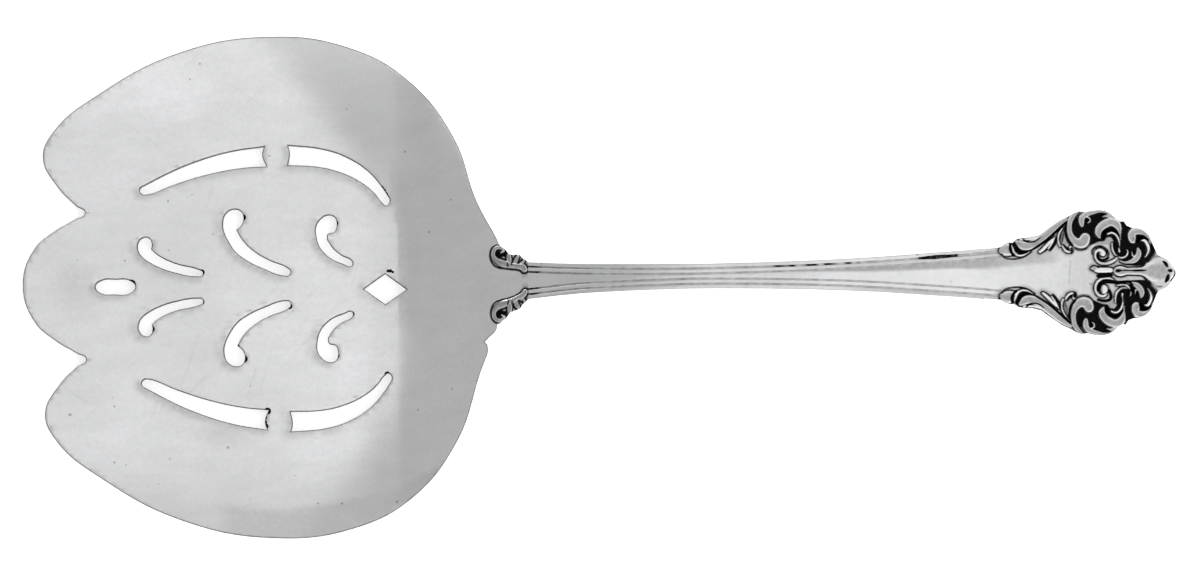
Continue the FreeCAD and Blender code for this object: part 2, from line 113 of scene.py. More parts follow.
def blade_lift(x, y):
    # how far each place of the flat sheet is raised, and how far it moves aside
    out = np.maximum(np.abs(y) - (half_width - side_width), 0)
    rise = side_radius - np.sqrt(side_radius ** 2 - np.minimum(out, side_radius * 0.9) ** 2)
    lean = np.clip((x - bend) / (bend_radius * math.sin(slope)), 0, 1) * slope
    turned = np.clip((x - bend) / 5.0, 0, 1)
    before_bend = np.minimum(x, bend) + 5.0 * (turned - turned ** 2 / 2)
    far_side = (before_bend + 41.0) * 0.78 + (y - 30.4) * 0.62
    near_side = (before_bend + 25.8) * 0.826 - (y + 15.5) * 0.564
    corner = corner_slope * (folded(far_side, 1.1) + 0.55 * folded(near_side, 1.1))
    corner = corner * (1 - eased((x - bend - 4.0) / 9.0))
    waves = np.array([noise.noise(Vector((px * 0.06, py * 0.06, 0.7))) * 0.05 for px, py in zip(x, y)])
    # the blade stands a little askew on its handle
    skew = -0.024 * (np.minimum(x, shoulder) - bend + 16.0) * (1 - eased((x + 17.0) / 5.0))
    return middle_height(x) + rise / np.cos(lean) + corner + waves * (1 - eased((x + 17.0) / 5.0)), skew


bpy.ops.object.select_all(action="DESELECT")
bpy.ops.curve.primitive_bezier_circle_add(radius=half_width * mm)
blade = bpy.context.object
blade.name = "blade"
sheet = blade.data
sheet.dimensions = "2D"
sheet.fill_mode = "BOTH"
sheet.resolution_u = 7
edge_round = 0.16
sheet.bevel_depth = edge_round * mm
sheet.bevel_resolution = 2
sheet.extrude = (blade_gauge / 2 - edge_round) * mm
sheet.offset = -edge_round * mm
sheet.splines.clear()


def draw_cut(points, corners=(), clockwise=False):
    # one closed line on the sheet, smooth through its points except where a corner is filed
    area = sum(a[0] * b[1] - b[0] * a[1] for a, b in zip(points, points[1:] + points[:1]))
    order = list(range(len(points)))
    if (area > 0) == clockwise:
        order.reverse()
    line = sheet.splines.new("BEZIER")
    line.bezier_points.add(len(points) - 1)
    line.use_cyclic_u = True
    for handle, index in zip(line.bezier_points, order):
        handle.co = (points[index][0] * mm, points[index][1] * mm, 0)
        kind = "VECTOR" if index in corners else "AUTO"
        handle.handle_left_type = kind
        handle.handle_right_type = kind


def blade_share(along, across):
    return (front + along * blade_length, across * half_width)


half_outline = [blade_share(0.024, 0.145), blade_share(0.064, 0.215), (-66.3, 8.5), (-65.05, 9.3),
                (-66.2, 10.2), blade_share(0.072, 0.40), blade_share(0.044, 0.51), blade_share(0.064, 0.61),
                blade_share(0.163, 0.77), blade_share(0.33, 0.935), blade_share(0.52, 1.0),
                blade_share(0.68, 0.96), blade_share(0.80, 0.84), blade_share(0.90, 0.60),
                blade_share(0.945, 0.345), blade_share(0.985, 0.182)]
far_shoulder = [(-12.2, 4.3), (-11.0, 3.3), (-9.8, 2.3), (-7.8, 1.9)]
# a small step is worn into the shoulder on the nearer side
near_shoulder = [(-7.8, -1.9), (-9.8, -2.3), (-11.0, -3.3), (-12.3, -4.4), (-12.9, -5.1), (-13.05, -5.8),
                 (-14.1, -6.7), (-14.55, -7.05), (-14.2, -7.45), (-14.15, -8.4), (-14.5, -9.3),
                 (-15.1, -10.7)]
near_outline = [(x, -y) for x, y in reversed(half_outline)][2:]
near_start = 1 + len(half_outline) + len(far_shoulder)
draw_cut([(front, 0)] + half_outline + far_shoulder + near_shoulder + near_outline,
         corners=[near_start + step for step in (-1, 0, 6, 7, 8)])

front_slot = [(-42.25, 17.95), (-42.5, 16.9), (-42.0, 15.45), (-44.9, 15.25), (-49.5, 14.35), (-53.5, 13.1),
              (-57.3, 11.72), (-57.85, 11.85), (-58.05, 12.4), (-57.3, 12.95), (-54.3, 14.5), (-51.3, 15.8),
              (-46.6, 17.25)]
back_slot = [(-39.2, 18.15), (-39.0, 17.1), (-39.25, 15.65), (-35.6, 15.5), (-33.0, 14.95), (-30.1, 13.65),
             (-28.3, 12.2), (-27.3, 10.95), (-26.85, 10.65), (-26.4, 11.2), (-26.8, 12.1), (-27.4, 13.0),
             (-29.0, 14.85), (-31.6, 16.6), (-34.6, 17.65)]
front_comma = [(-57.6, 6.25), (-58.3, 5.6), (-58.35, 4.7), (-57.95, 3.95), (-56.85, 3.1), (-55.3, 2.35),
               (-53.8, 1.88), (-50.9, 1.4), (-50.3, 1.5), (-50.2, 1.95), (-50.7, 2.25), (-53.7, 3.0),
               (-55.9, 4.05), (-56.7, 4.75), (-56.6, 5.4), (-56.9, 6.1)]
middle_comma = [(-46.2, 9.95), (-47.2, 9.35), (-47.55, 8.3), (-47.45, 7.2), (-46.9, 5.95), (-45.9, 4.5),
                (-44.4, 3.4), (-42.4, 2.45), (-39.8, 1.6), (-39.25, 1.7), (-39.1, 2.2), (-39.5, 2.6),
                (-41.7, 3.5), (-43.7, 4.65), (-45.1, 6.0), (-45.9, 7.35), (-45.2, 8.0), (-44.95, 9.0),
                (-45.3, 9.7)]
back_comma = [(-34.4, 9.3), (-35.2, 8.8), (-35.75, 7.9), (-35.75, 6.7), (-35.4, 5.45), (-34.7, 4.5),
              (-33.7, 3.72), (-32.2, 3.1), (-31.6, 2.85), (-31.25, 3.05), (-31.3, 3.5), (-32.6, 4.25),
              (-33.6, 5.05), (-34.4, 6.2), (-34.3, 6.95), (-33.5, 7.2), (-33.15, 8.0), (-33.3, 8.9),
              (-33.7, 9.25)]
for points, corners in ((front_slot, (0, 2, 9)), (back_slot, (0, 2)), (front_comma, (13,)),
                        (middle_comma, (15,)), (back_comma, (13,))):
    draw_cut(points, corners, clockwise=True)
    draw_cut([(x, -y) for x, y in points], corners, clockwise=True)
draw_cut([(-61.3, 0.9), (-63.0, 0.75), (-63.8, 0.0), (-63.2, -0.8), (-61.3, -1.0), (-59.5, -0.85),
          (-58.75, 0.0), (-59.4, 0.75)], clockwise=True)
diamond = [(-29.8, 0.0), (-27.1, 1.95), (-24.4, 0.0), (-27.1, -1.9)]
draw_cut(diamond, range(4), clockwise=True)

bpy.ops.object.convert(target="MESH")
bpy.ops.object.mode_set(mode="EDIT")
bpy.ops.mesh.select_all(action="SELECT")
bpy.ops.mesh.remove_doubles(threshold=1e-6)
strip, fine_strip = 0.83, 0.5
cuts_along = list(np.arange(front + 0.6, bend - 1.0, strip))
cuts_along += list(np.arange(bend - 0.6, shoulder + 4.0, fine_strip))
# two more lines close together keep the edge of the crease sharp
cuts_along += [-25.52, -25.32]
cuts_across = np.arange(-half_width + 0.5, half_width, strip)
for place in cuts_along:
    bpy.ops.mesh.select_all(action="SELECT")
    bpy.ops.mesh.bisect(plane_co=(place * mm, 0, 0), plane_no=(1, 0, 0), threshold=1e-7)
for place in cuts_across:
    bpy.ops.mesh.select_all(action="SELECT")
    bpy.ops.mesh.bisect(plane_co=(0, place * mm, 0), plane_no=(0, 1, 0), threshold=1e-7)
# the fill's own slanting edges go, so that each square of the sheet is one face
bpy.ops.mesh.select_all(action="DESELECT")
bpy.ops.mesh.select_mode(type="EDGE")
shape = bmesh.from_edit_mesh(blade.data)
for edge in shape.edges:
    run = edge.verts[1].co - edge.verts[0].co
    slanting = abs(run.x) > 1e-6 and abs(run.y) > 1e-6
    flat = all(abs(face.normal.z) > 0.999 for face in edge.link_faces)
    edge.select_set(slanting and flat and len(edge.link_faces) == 2)
bmesh.update_edit_mesh(blade.data)
bpy.ops.mesh.dissolve_edges(use_verts=False)
bpy.ops.object.mode_set(mode="OBJECT")

places = np.empty(len(blade.data.vertices) * 3)
blade.data.vertices.foreach_get("co", places)
places = places.reshape(-1, 3) / mm
wall = np.clip((blade_gauge / 2 - np.abs(places[:, 2])) / (edge_round * 0.15), 0, 1)
# painted shade lies in the crease at the bend and along the nearer rim
crease_painted_shade, near_rim_painted_shade, hole_edge_painted_shade, hole_shade_width = 0.2, 0.17, 0.34, 1.2
crease_at = -25.4 - 0.8 * eased((places[:, 1] - 7.0) / 4.5)
crease = np.where(places[:, 0] > crease_at, 1 - eased((places[:, 0] - crease_at) / 3.6), 0)
crease = crease * (1 - eased((np.abs(places[:, 1] - 4.5) - 6) / 7))
near_rim = -27.9 + 0.0125 * (places[:, 0] + 42.0) ** 2
shade = eased((near_rim - places[:, 1]) / 1.1 + 0.3) * eased((places[:, 0] + 49.5) / 3.5)
painted_shade = np.maximum(crease_painted_shade * crease, near_rim_painted_shade * shade * (places[:, 0] < -17))
# the painted shade thickens slowly towards the crease, more on the nearer side
before_crease = 0.06 + 0.05 * (1 - eased((places[:, 1] + 14.0) / 6.0))
before_crease = before_crease * eased((places[:, 0] + 32.0) / 5.0) * (1 - eased((places[:, 0] + 25.6) / 3.0))
painted_shade = np.maximum(painted_shade, before_crease * (1 - eased((places[:, 1] - 12.0) / 4.0)))
# painted shade also lies along the nearer and front edges of the holes
edges = np.empty(len(blade.data.edges) * 2, int)
blade.data.edges.foreach_get("vertices", edges)
edges = np.vstack((edges.reshape(-1, 2), edges.reshape(-1, 2)[:, ::-1]))
on_top = (places[:, 2] > blade_gauge / 2 - 0.002) & (places[:, 0] > -64.5) & (places[:, 0] < -24.0)
on_top &= np.abs(places[:, 1]) < 19.6
over_rim = edges[on_top[edges[:, 0]] & (places[edges[:, 1], 2] < blade_gauge / 2 - 0.01)]
rim, outward = places[over_rim[:, 0]], places[over_rim[:, 1]] - places[over_rim[:, 0]]
toward = np.clip((0.8 * outward[:, 0] + 0.6 * outward[:, 1]) / np.hypot(outward[:, 0], outward[:, 1]), 0, 1)
for index in np.flatnonzero(on_top):
    away = np.hypot(rim[:, 0] - places[index, 0], rim[:, 1] - places[index, 1])
    nearest = away.argmin()
    hole_edge_shade = hole_edge_painted_shade * toward[nearest] * (1 - eased(away[nearest] / hole_shade_width))
    painted_shade[index] = max(painted_shade[index], hole_edge_shade)
# painted shade in a few soft patches, by the eye hole, below the front slots and by the shoulder
for along, across, wide, high, amount in ((-66.4, 0.2, 3.0, 3.0, 0.09), (-47.9, -18.6, 3.0, 1.5, 0.13),
                                          (-56.5, 13.5, 3.5, 2.5, 0.04), (-13.5, -3.0, 5.0, 6.0, 0.04)):
    spread = ((places[:, 0] - along) / wide) ** 2 + ((places[:, 1] - across) / high) ** 2
    painted_shade = np.maximum(painted_shade, amount * np.exp(-spread))
lift, skew = blade_lift(places[:, 0], places[:, 1])
drawn_in, least_height, front_gap = 0.0028, 0.004, 0.01
places[:, 1] = (places[:, 1] + skew) * (1 - drawn_in * eased((np.abs(places[:, 1]) - 20) / 10))
places[:, 2] = np.maximum(places[:, 2] + lift, least_height)
places[:, 0] = np.maximum(places[:, 0], front + front_gap)
blade.data.vertices.foreach_set("co", (places * mm).reshape(-1))
blade.data.update()


def add_patina_and_shade(piece, amount):
    # how much each point is darkened: black polish in the hollows, and painted shade elsewhere
    layer = piece.data.attributes.new("patina_and_shade", "FLOAT", "POINT")
    layer.data.foreach_set("value", np.asarray(amount, float))


# the walls and rubbed edges are painted nearly black, painted shade along every edge
add_patina_and_shade(blade, np.maximum(0.8 * wall, painted_shade))
blade.data.shade_smooth()
smoother = blade.modifiers.new("even_light", "WEIGHTED_NORMAL")
smoother.weight = 80
bpy.ops.object.modifier_apply(modifier="even_light")


# black dirt and painted shadow in the ends and corners of the holes: place and radius of each spot
dirt_and_shadow_spots = [(-45.05, 9, 0.48), (-50.3, 2.1, 0.42), (-59.25, 0.72, 0.65), (-56.75, -5, 0.48),
              (-45.95, -7.25, 0.36), (-45.05, -8.95, 0.51), (-39.25, -2.35, 0.42), (-42.15, -15.6, 0.48),
              (-42.55, -16.4, 0.38), (-42.55, -17, 0.36), (-42.4, -17.5, 0.38), (-56.75, 5.6, 0.32),
              (-50.3, -1.65, 0.34), (-27.35, 12.5, 0.27), (-27.1, 12.15, 0.28), (-26.85, 11.7, 0.28),
              (-26.65, 11.3, 0.27), (-26.5, 10.9, 0.25), (-26.7, 1.95, 0.22), (-26.4, 1.95, 0.24),
              (-26.1, 1.8, 0.18), (-33.3, 8.1, 0.42), (-33.3, -8.7, 0.38), (-31.3, -3.45, 0.32),
              (-26.95, -11.15, 0.4)]


def silver_material():
    material = bpy.data.materials.new("worn_silver")
    material.use_nodes = True
    nodes, links = material.node_tree.nodes, material.node_tree.links
    shader = nodes["Principled BSDF"]
    place = nodes.new("ShaderNodeTexCoord")

    def noise_at(scale, detail, roughness, turn=0.0, across=1.0):
        mapping = nodes.new("ShaderNodeMapping")
        mapping.inputs["Rotation"].default_value = (0, 0, turn)
        mapping.vector_type = "TEXTURE"
        mapping.inputs["Scale"].default_value = (1.0, 1.0 / across, 1.0)
        links.new(place.outputs["Object"], mapping.inputs["Vector"])
        node = nodes.new("ShaderNodeTexNoise")
        node.inputs["Scale"].default_value = scale
        node.inputs["Detail"].default_value = detail
        node.inputs["Roughness"].default_value = roughness
        links.new(mapping.outputs["Vector"], node.inputs["Vector"])
        return node.outputs["Fac"]

    def ranged(source, low, high, to_low, to_high):
        node = nodes.new("ShaderNodeMapRange")
        for name, value in (("From Min", low), ("From Max", high), ("To Min", to_low), ("To Max", to_high)):
            node.inputs[name].default_value = value
        links.new(source, node.inputs["Value"])
        return node.outputs["Result"]

    def combined(operation, a, b):
        node = nodes.new("ShaderNodeMath")
        node.operation = operation
        for socket, value in zip(node.inputs, (a, b)):
            if isinstance(value, (int, float)):
                socket.default_value = value
            else:
                links.new(value, socket)
        return node.outputs[0]

    def mixed(factor, a, b):
        node = nodes.new("ShaderNodeMix")
        node.data_type = "RGBA"
        links.new(factor, node.inputs["Factor"])
        for socket, value in ((node.inputs["A"], a), (node.inputs["B"], b)):
            if isinstance(value, tuple):
                socket.default_value = (*value, 1)
            else:
                links.new(value, socket)
        return node.outputs["Result"]

    # cloudy tarnish, fine pits and hair scratches from years of use
    clouds = noise_at(45.0, 4.0, 0.55)
    smears = noise_at(190.0, 3.0, 0.6, 0.08, 3.0)
    mottle = noise_at(1500.0, 3.0, 0.65)
    hairs = [noise_at(55.0, 1.0, 0.4, turn, 55.0) for turn in (0.75, -0.6, 1.25)]
    hairs = [ranged(hair, 0.68, 0.76, 0.0, 1.0) for hair in hairs]
    hair = combined("MULTIPLY", combined("MAXIMUM", combined("MAXIMUM", hairs[0], hairs[1]), hairs[2]),
                    ranged(noise_at(90.0, 2.0, 0.5), 0.45, 0.6, 0.0, 1.0))
    pits = nodes.new("ShaderNodeTexVoronoi")
    pits.inputs["Scale"].default_value = 700.0
    links.new(place.outputs["Object"], pits.inputs["Vector"])
    lot = nodes.new("ShaderNodeSeparateColor")
    links.new(pits.outputs["Color"], lot.inputs["Color"])
    pit_radius = ranged(lot.outputs["Green"], 0.0, 1.0, 0.05, 0.16)
    pit_size = combined("SUBTRACT", pit_radius, pits.outputs["Distance"])
    few_pits = ranged(lot.outputs["Red"], 0.72, 0.9, 0.0, 1.0)
    pit = combined("MULTIPLY", ranged(pit_size, 0.0, 0.05, 0.0, 1.0), few_pits)

    above = nodes.new("ShaderNodeVectorMath")
    above.operation = "MULTIPLY"
    above.inputs[1].default_value = (1, 1, 0)
    links.new(place.outputs["Object"], above.inputs[0])
    dirt_and_shadow = 0.0
    for x, y, radius in dirt_and_shadow_spots:
        away = nodes.new("ShaderNodeVectorMath")
        away.operation = "DISTANCE"
        away.inputs[1].default_value = (x * mm, y * mm, 0)
        links.new(above.outputs["Vector"], away.inputs[0])
        spot = ranged(away.outputs["Value"], 0.85 * radius * mm, radius * mm, 1.0, 0.0)
        dirt_and_shadow = combined("MAXIMUM", spot, dirt_and_shadow)

    patina_and_shade = nodes.new("ShaderNodeAttribute")
    patina_and_shade.attribute_name = "patina_and_shade"
    uneven = ranged(mottle, 0.3, 0.7, 0.85, 1.15)
    dark = nodes.new("ShaderNodeClamp")
    mottled = combined("MULTIPLY", patina_and_shade.outputs["Fac"], uneven)
    links.new(combined("MAXIMUM", mottled, dirt_and_shadow), dark.inputs["Value"])
    dark = dark.outputs["Result"]

    bright, dull, black = (0.905, 0.90, 0.895), (0.81, 0.805, 0.795), (0.007, 0.006, 0.006)
    tone = mixed(ranged(clouds, 0.3, 0.7, 0.0, 1.0), bright, dull)
    tone = mixed(ranged(smears, 0.35, 0.7, 0.0, 0.2), tone, (0.6, 0.595, 0.585))
    tone = mixed(ranged(mottle, 0.25, 0.75, 0.0, 0.15), tone, (0.5, 0.5, 0.49))
    tone = mixed(combined("MULTIPLY", pit, 0.6), tone, (0.2, 0.19, 0.18))
    tone = mixed(combined("MULTIPLY", hair, 0.16), tone, (0.45, 0.45, 0.44))
    links.new(mixed(dark, tone, black), shader.inputs["Base Color"])
    rough = combined("ADD", ranged(clouds, 0.3, 0.7, 0.24, 0.31), ranged(mottle, 0.3, 0.7, -0.02, 0.03))
    rough = combined("ADD", rough, combined("MULTIPLY", hair, 0.1))
    rough = combined("ADD", rough, combined("MULTIPLY", dark, 0.25))
    links.new(rough, shader.inputs["Roughness"])
    shader.inputs["Metallic"].default_value = 1.0
    height = combined("SUBTRACT", combined("MULTIPLY", mottle, 0.35), combined("MULTIPLY", pit, 1.0))
    height = combined("SUBTRACT", height, combined("MULTIPLY", hair, 0.3))
    bump = nodes.new("ShaderNodeBump")
    bump.inputs["Strength"].default_value = 0.09
    bump.inputs["Distance"].default_value = 0.03 * mm
    links.new(height, bump.inputs["Height"])
    links.new(bump.outputs["Normal"], shader.inputs["Normal"])
    return material


silver = silver_material()


def finish_piece(piece):
    piece.data.materials.clear()
    piece.data.materials.append(silver)
    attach(piece, "root")
    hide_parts("sardine_server")


finish_piece(blade)

# Handle: struck in a die from the same silver, with two fine threads along each edge of its face and a
# smooth panel between them that swells towards the end. Its back is plain and rounded.
handle_stations = np.array([
    (-12.0, 1.6), (-10.0, 2.05), (-8.9, 2.32), (-7.3, 2.2), (-5.1, 2.02), (-2.5, 1.85), (0.0, 1.76),
    (5.0, 1.63), (11.4, 1.53), (15.2, 1.56), (20.2, 1.64), (25.3, 1.77), (30.4, 1.96), (35.4, 2.22),
    (40.5, 2.58), (45.5, 2.93), (48.1, 3.14), (50.6, 3.4), (52.0, 3.6)])
thread, thread_gap, thread_depth = 0.5, 0.15, 0.07
narrow_at = shoulder + 23.0


def handle_half(x):
    return np.interp(x, handle_stations[:, 0], handle_stations[:, 1])


def thinning(x):
    # half of what the gauge changes from the narrowest place of the stem to the end plate
    share = np.clip((x - narrow_at) / (plate_start - narrow_at), 0, 1)
    return (end_gauge - stem_gauge) / 2 * share


def face_over(x):
    # the face over the middle line: level with the blade at first, full on the stem, thinner at the end
    start = eased((x - shoulder - 3.0) / 8.0)
    return (blade_gauge / 2 + 0.10) * (1 - start) + stem_gauge / 2 * start + thinning(x)


def back_under(x):
    start = eased((x - shoulder + 4.0) / 7.0)
    return (blade_gauge / 2 - 0.05) * (1 - start) + stem_gauge / 2 * start + thinning(x)


plate_reach = np.array([(-60.0, 0.0), (-24.5, 0.0), (-20.0, 3.4), (-14.0, 5.6), (-10.0, 6.2), (0.0, 6.2)])


def panel_half(x):
    # the panel lies between the threads, and on the end plate it opens out under the scrolls
    on_plate = np.interp(x - tip, plate_reach[:, 0], plate_reach[:, 1])
    return np.maximum(handle_half(x) - 2 * (thread + thread_gap), on_plate)


def handle_face(x, y):
    half = handle_half(x)
    from_edge = half - np.abs(y)
    on_stem = x < tip - 21.8
    swell = 0.02 + 0.14 * eased((x - shoulder - 10.0) / 40.0)
    relief = -0.02 - swell * np.clip(np.abs(y) / panel_half(x), 0, 1) ** 2.0
    begun = 0.35 + 0.65 * eased((x - shoulder - 6.0) / 14.0)
    for start in (0.0, thread + thread_gap):
        s = (from_edge - start) / thread * 2 - 1
        in_thread = (np.abs(s) < 1) & on_stem
        relief = np.where(in_thread, -thread_depth * begun * np.clip(np.abs(s), 0, 1) ** 2.0, relief)
    # the far half of the panel is painted darker, painted shade, and so are the edges
    veil_from = np.interp(x, (35.0, 45.0, 50.0, 55.0), (0.1, 0.45, 0.15, 0.5))
    on_plate = eased((x - 46.0) / 5.0)
    far_half_painted_shade = (0.42 - 0.1 * on_plate) * eased((y - veil_from) / (0.5 + 0.6 * on_plate))
    far_half_painted_shade = far_half_painted_shade * eased((x - 13.0) / 8.0) * (1 - eased((x - tip + 17.5) / 5.0))
    grey = 0.13 * eased((x + 6.0) / 8.0) * (1 - eased((x - 22.0) / 14.0)) + 0.09 * eased((x - 46.0) / 8.0)
    grey = grey + 0.08 * eased((x - 57.0) / 4.0)
    dark = np.where(np.abs(y) < panel_half(x), np.maximum(far_half_painted_shade, grey), grey)
    second = (y > 0) & (from_edge > thread + thread_gap) & (np.abs(y) > panel_half(x))
    dark = np.where(second, np.maximum(dark, 0.2 * eased((x - 20.0) / 8.0)), dark)
    first = (from_edge < thread) & on_stem
    dark = np.where(first & (y < 0), np.maximum(dark, 0.28 * eased((x - 22.0) / 20.0)), dark)
    dark = np.where(first & (y > 0), np.maximum(dark, 0.14 * eased((x - 42.0) / 4.0)), dark)
    # painted shade along both edges
    dark = np.maximum(dark, 0.45 * (1 - eased(from_edge / 0.16)))
    # black lies deep in the grooves near the blade, and in two worn stretches of the far one
    dashes = np.array([noise.noise(Vector((px * 1.1, 0.2, 0.3))) for px in x])
    worn = eased((x - 20.5) / 3.0) * (1 - eased((x - 32.5) / 1.5)) * (0.75 + 1.6 * dashes)
    worn = np.maximum(worn, eased((x - 39.5) / 1.2) * (1 - eased((x - 44.5) / 1.2)) * 1.5)
    for number, centre in enumerate((thread + thread_gap / 2, 2 * thread + 1.5 * thread_gap)):
        away = np.abs(from_edge - centre)
        wider = 0.12 * eased((x - 39.5) / 3.0) * (1 - 0.5 * eased((x - 42.5) / 2.0)) * (number == 0) * (y > 0)
        in_groove = (away <= thread_gap / 2 + 0.05 + wider) & on_stem
        relief = np.where(in_groove, -(thread_depth + 0.03) * begun, relief)
        stain = 0.44 + 0.14 * (1 - eased((x + 8.0) / 9.0)) + 0.2 * dashes
        stain = stain + 0.6 * (1 - eased((x - shoulder - 3.5) / 1.6))
        if number == 0:
            stain = np.where(y > 0, np.maximum(stain, worn), stain)
        dark = np.where(in_groove, np.clip(stain, 0.15, 1.0), dark)
    return relief, dark


def swept(x, y, points):
    # how far each place lies from a line that widens and narrows: as a share of its half width, and in mm
    line = smooth_line(points, 0.06)
    half_widths = np.maximum(line[:, 2], 0.05)
    near = (x > line[:, 0].min() - 1.2) & (x < line[:, 0].max() + 1.2) & \
           (y > line[:, 1].min() - 1.2) & (y < line[:, 1].max() + 1.2)
    share, gap = np.full(x.shape, 9.0), np.full(x.shape, 9.0)
    px, py = x[near], y[near]
    best, best_gap = np.full(px.shape, 9.0), np.full(px.shape, 9.0)
    for (cx, cy), half in zip(line[:, :2], half_widths):
        away = np.hypot(px - cx, py - cy)
        best = np.minimum(best, away / half)
        best_gap = np.minimum(best_gap, away - half)
    share[near], gap[near] = best, best_gap
    return share, gap


def smooth_line(points, step):
    # a natural cubic spline through the points, read at even steps; widths are carried along
    p = np.array(points, float)
    t = np.concatenate(([0], np.cumsum(np.hypot(*np.diff(p[:, :2], axis=0).T))))
    n = len(t)
    gaps = np.diff(t)
    a, b = np.eye(n), np.zeros((n, p.shape[1]))
    for i in range(1, n - 1):
        a[i, i - 1:i + 2] = gaps[i - 1], 2 * (gaps[i - 1] + gaps[i]), gaps[i]
        b[i] = 6 * ((p[i + 1] - p[i]) / gaps[i] - (p[i] - p[i - 1]) / gaps[i - 1])
    bow = np.linalg.solve(a, b)
    at = np.linspace(0, t[-1], max(2, int(math.ceil(t[-1] / step)) + 1))
    k = np.clip(np.searchsorted(t, at, side="right") - 1, 0, n - 2)
    u, v, g = (t[k + 1] - at)[:, None], (at - t[k])[:, None], gaps[k][:, None]
    return (bow[k] * u ** 3 + bow[k + 1] * v ** 3) / (6 * g) + (p[k] / g - bow[k] * g / 6) * u \
        + (p[k + 1] / g - bow[k + 1] * g / 6) * v


def off_axis(x):
    # the real handle isn't quite straight
    return 0.12 + 0.15 * eased((x - plate_start + 3.0) / 8.0) - 0.3 * (1 - eased((x - shoulder - 0.4) / 2.6))


def softened(grid):
    along = np.vstack((grid[:1], grid, grid[-1:]))
    grid = (along[:-2] + 2 * along[1:-1] + along[2:]) / 4
    across = np.hstack((grid[:, :1], grid, grid[:, -1:]))
    return (across[:, :-2] + 2 * across[:, 1:-1] + across[:, 2:]) / 4


def struck_bar(name, start, end, rows, columns, half_at, face_at, soften=0):
    # a round bar, cut into even rings, then struck: its upper side takes the die's face, its back stays plain
    back_steps = 14
    coarse_parts = 4
    rows = coarse_parts * round((rows - 1) / coarse_parts) + 1
    ring_size = columns + back_steps
    bpy.ops.object.select_all(action="DESELECT")
    bpy.ops.mesh.primitive_cylinder_add(vertices=ring_size, radius=1.0, depth=1.0,
                                        rotation=(0, math.pi / 2, 0))
    bar = bpy.context.object
    bar.name = name
    bpy.ops.object.transform_apply(location=False, rotation=True, scale=False)
    bpy.ops.object.mode_set(mode="EDIT")
    bpy.ops.mesh.select_mode(type="EDGE")
    # one subdivision makes a hundred cuts at most, so the rings come in two goes
    for parts in (coarse_parts, (rows - 1) // coarse_parts):
        bpy.ops.mesh.select_all(action="DESELECT")
        shape = bmesh.from_edit_mesh(bar.data)
        for edge in shape.edges:
            edge.select_set(abs(edge.verts[0].co.x - edge.verts[1].co.x) > 1e-4)
        bmesh.update_edit_mesh(bar.data)
        bpy.ops.mesh.subdivide(number_cuts=parts - 1)
    bpy.ops.object.mode_set(mode="OBJECT")
    places = np.empty(len(bar.data.vertices) * 3)
    bar.data.vertices.foreach_get("co", places)
    places = places.reshape(-1, 3)
    row = np.rint((places[:, 0] + 0.5) * (rows - 1)).astype(int)
    turn = np.arctan2(places[:, 2], -places[:, 1])
    first = turn.min()
    step = np.rint((turn - first) / (2 * math.pi / ring_size)).astype(int) % ring_size
    zero = np.rint((0 - first) / (2 * math.pi / ring_size)).astype(int)
    step = (step - zero) % ring_size
    along = np.linspace(start, end, rows)
    edge_half = half_at(along)
    aside = off_axis(along)
    xs = np.repeat(along, columns)
    ys = np.tile(np.linspace(-1, 1, columns), rows) * np.repeat(edge_half, columns)
    over, dark = face_at(xs, ys)
    for _ in range(soften):
        over, dark = (softened(values.reshape(rows, columns)).reshape(-1) for values in (over, dark))
    ring = np.zeros((rows, ring_size, 4))
    ring[:, :, 0] = along[:, None]
    ring[:, :columns, 1] = ys.reshape(rows, columns) + aside[:, None]
    ring[:, :columns, 2] = (middle_height(xs) + over).reshape(rows, columns)
    ring[:, :columns, 3] = dark.reshape(rows, columns)
    middle, under = middle_height(along), back_under(along)
    for k in range(back_steps):
        angle = math.pi * (k + 1) / (back_steps + 1)
        inward = math.copysign(abs(math.cos(angle)) ** 0.5, math.cos(angle))
        drop = math.sin(angle) ** 0.7
        edge_height = ring[:, columns - 1, 2] if k < back_steps / 2 else ring[:, 0, 2]
        ring[:, columns + k, 1] = inward * edge_half + aside
        rim_height = np.minimum(edge_height - 0.03, middle + 0.45)
        ring[:, columns + k, 2] = rim_height * (1 - drop) + (middle - under) * drop
    bar.data.vertices.foreach_set("co", (ring[row, step, :3] * mm).reshape(-1))
    bar.data.update()
    add_patina_and_shade(bar, ring[row, step, 3])
    bpy.ops.object.shade_smooth_by_angle(angle=math.radians(62))
    finish_piece(bar)


fineness = 1.0
shoulder_seam, end_seam = shoulder + 3.1, tip - 24.6


def handle_carved(x, y):
    relief, dark = handle_face(x, y)
    return face_over(x) + relief, dark


struck_bar("handle", shoulder_seam, end_seam, 233, 141, handle_half, handle_carved)

# Scroll end: the same strip widened and struck deep with mirrored scrolls, leaves and a bar with a shell at
# the tip. Black polish stays in the hollows, the rounded tops are rubbed bright, the flat tops carry a
# painted grey shade and a painted shadow lies at the feet of the scrolls.


def rounded(share):
    return np.sqrt(np.clip(1 - np.clip((share - 0.25) / 0.75, 0, 1) ** 2, 0, 1))


def flat_leaf(share):
    return np.sqrt(np.clip(1 - np.clip((share - 0.45) / 0.55, 0, 1) ** 2, 0, 1)) * (1 - 0.12 * (1 - share))


def hollow_leaf(share):
    rim = np.sqrt(np.clip(1 - np.clip((share - 0.7) / 0.3, 0, 1) ** 2, 0, 1))
    return rim * (1 - 0.16 * np.cos(np.clip(share / 0.78, 0, 1) * math.pi / 2) ** 2)


# painted grey shade on the tops of each shape of ridge
top_painted_shade = {rounded: 0.0, flat_leaf: 0.42, hollow_leaf: 0.46}
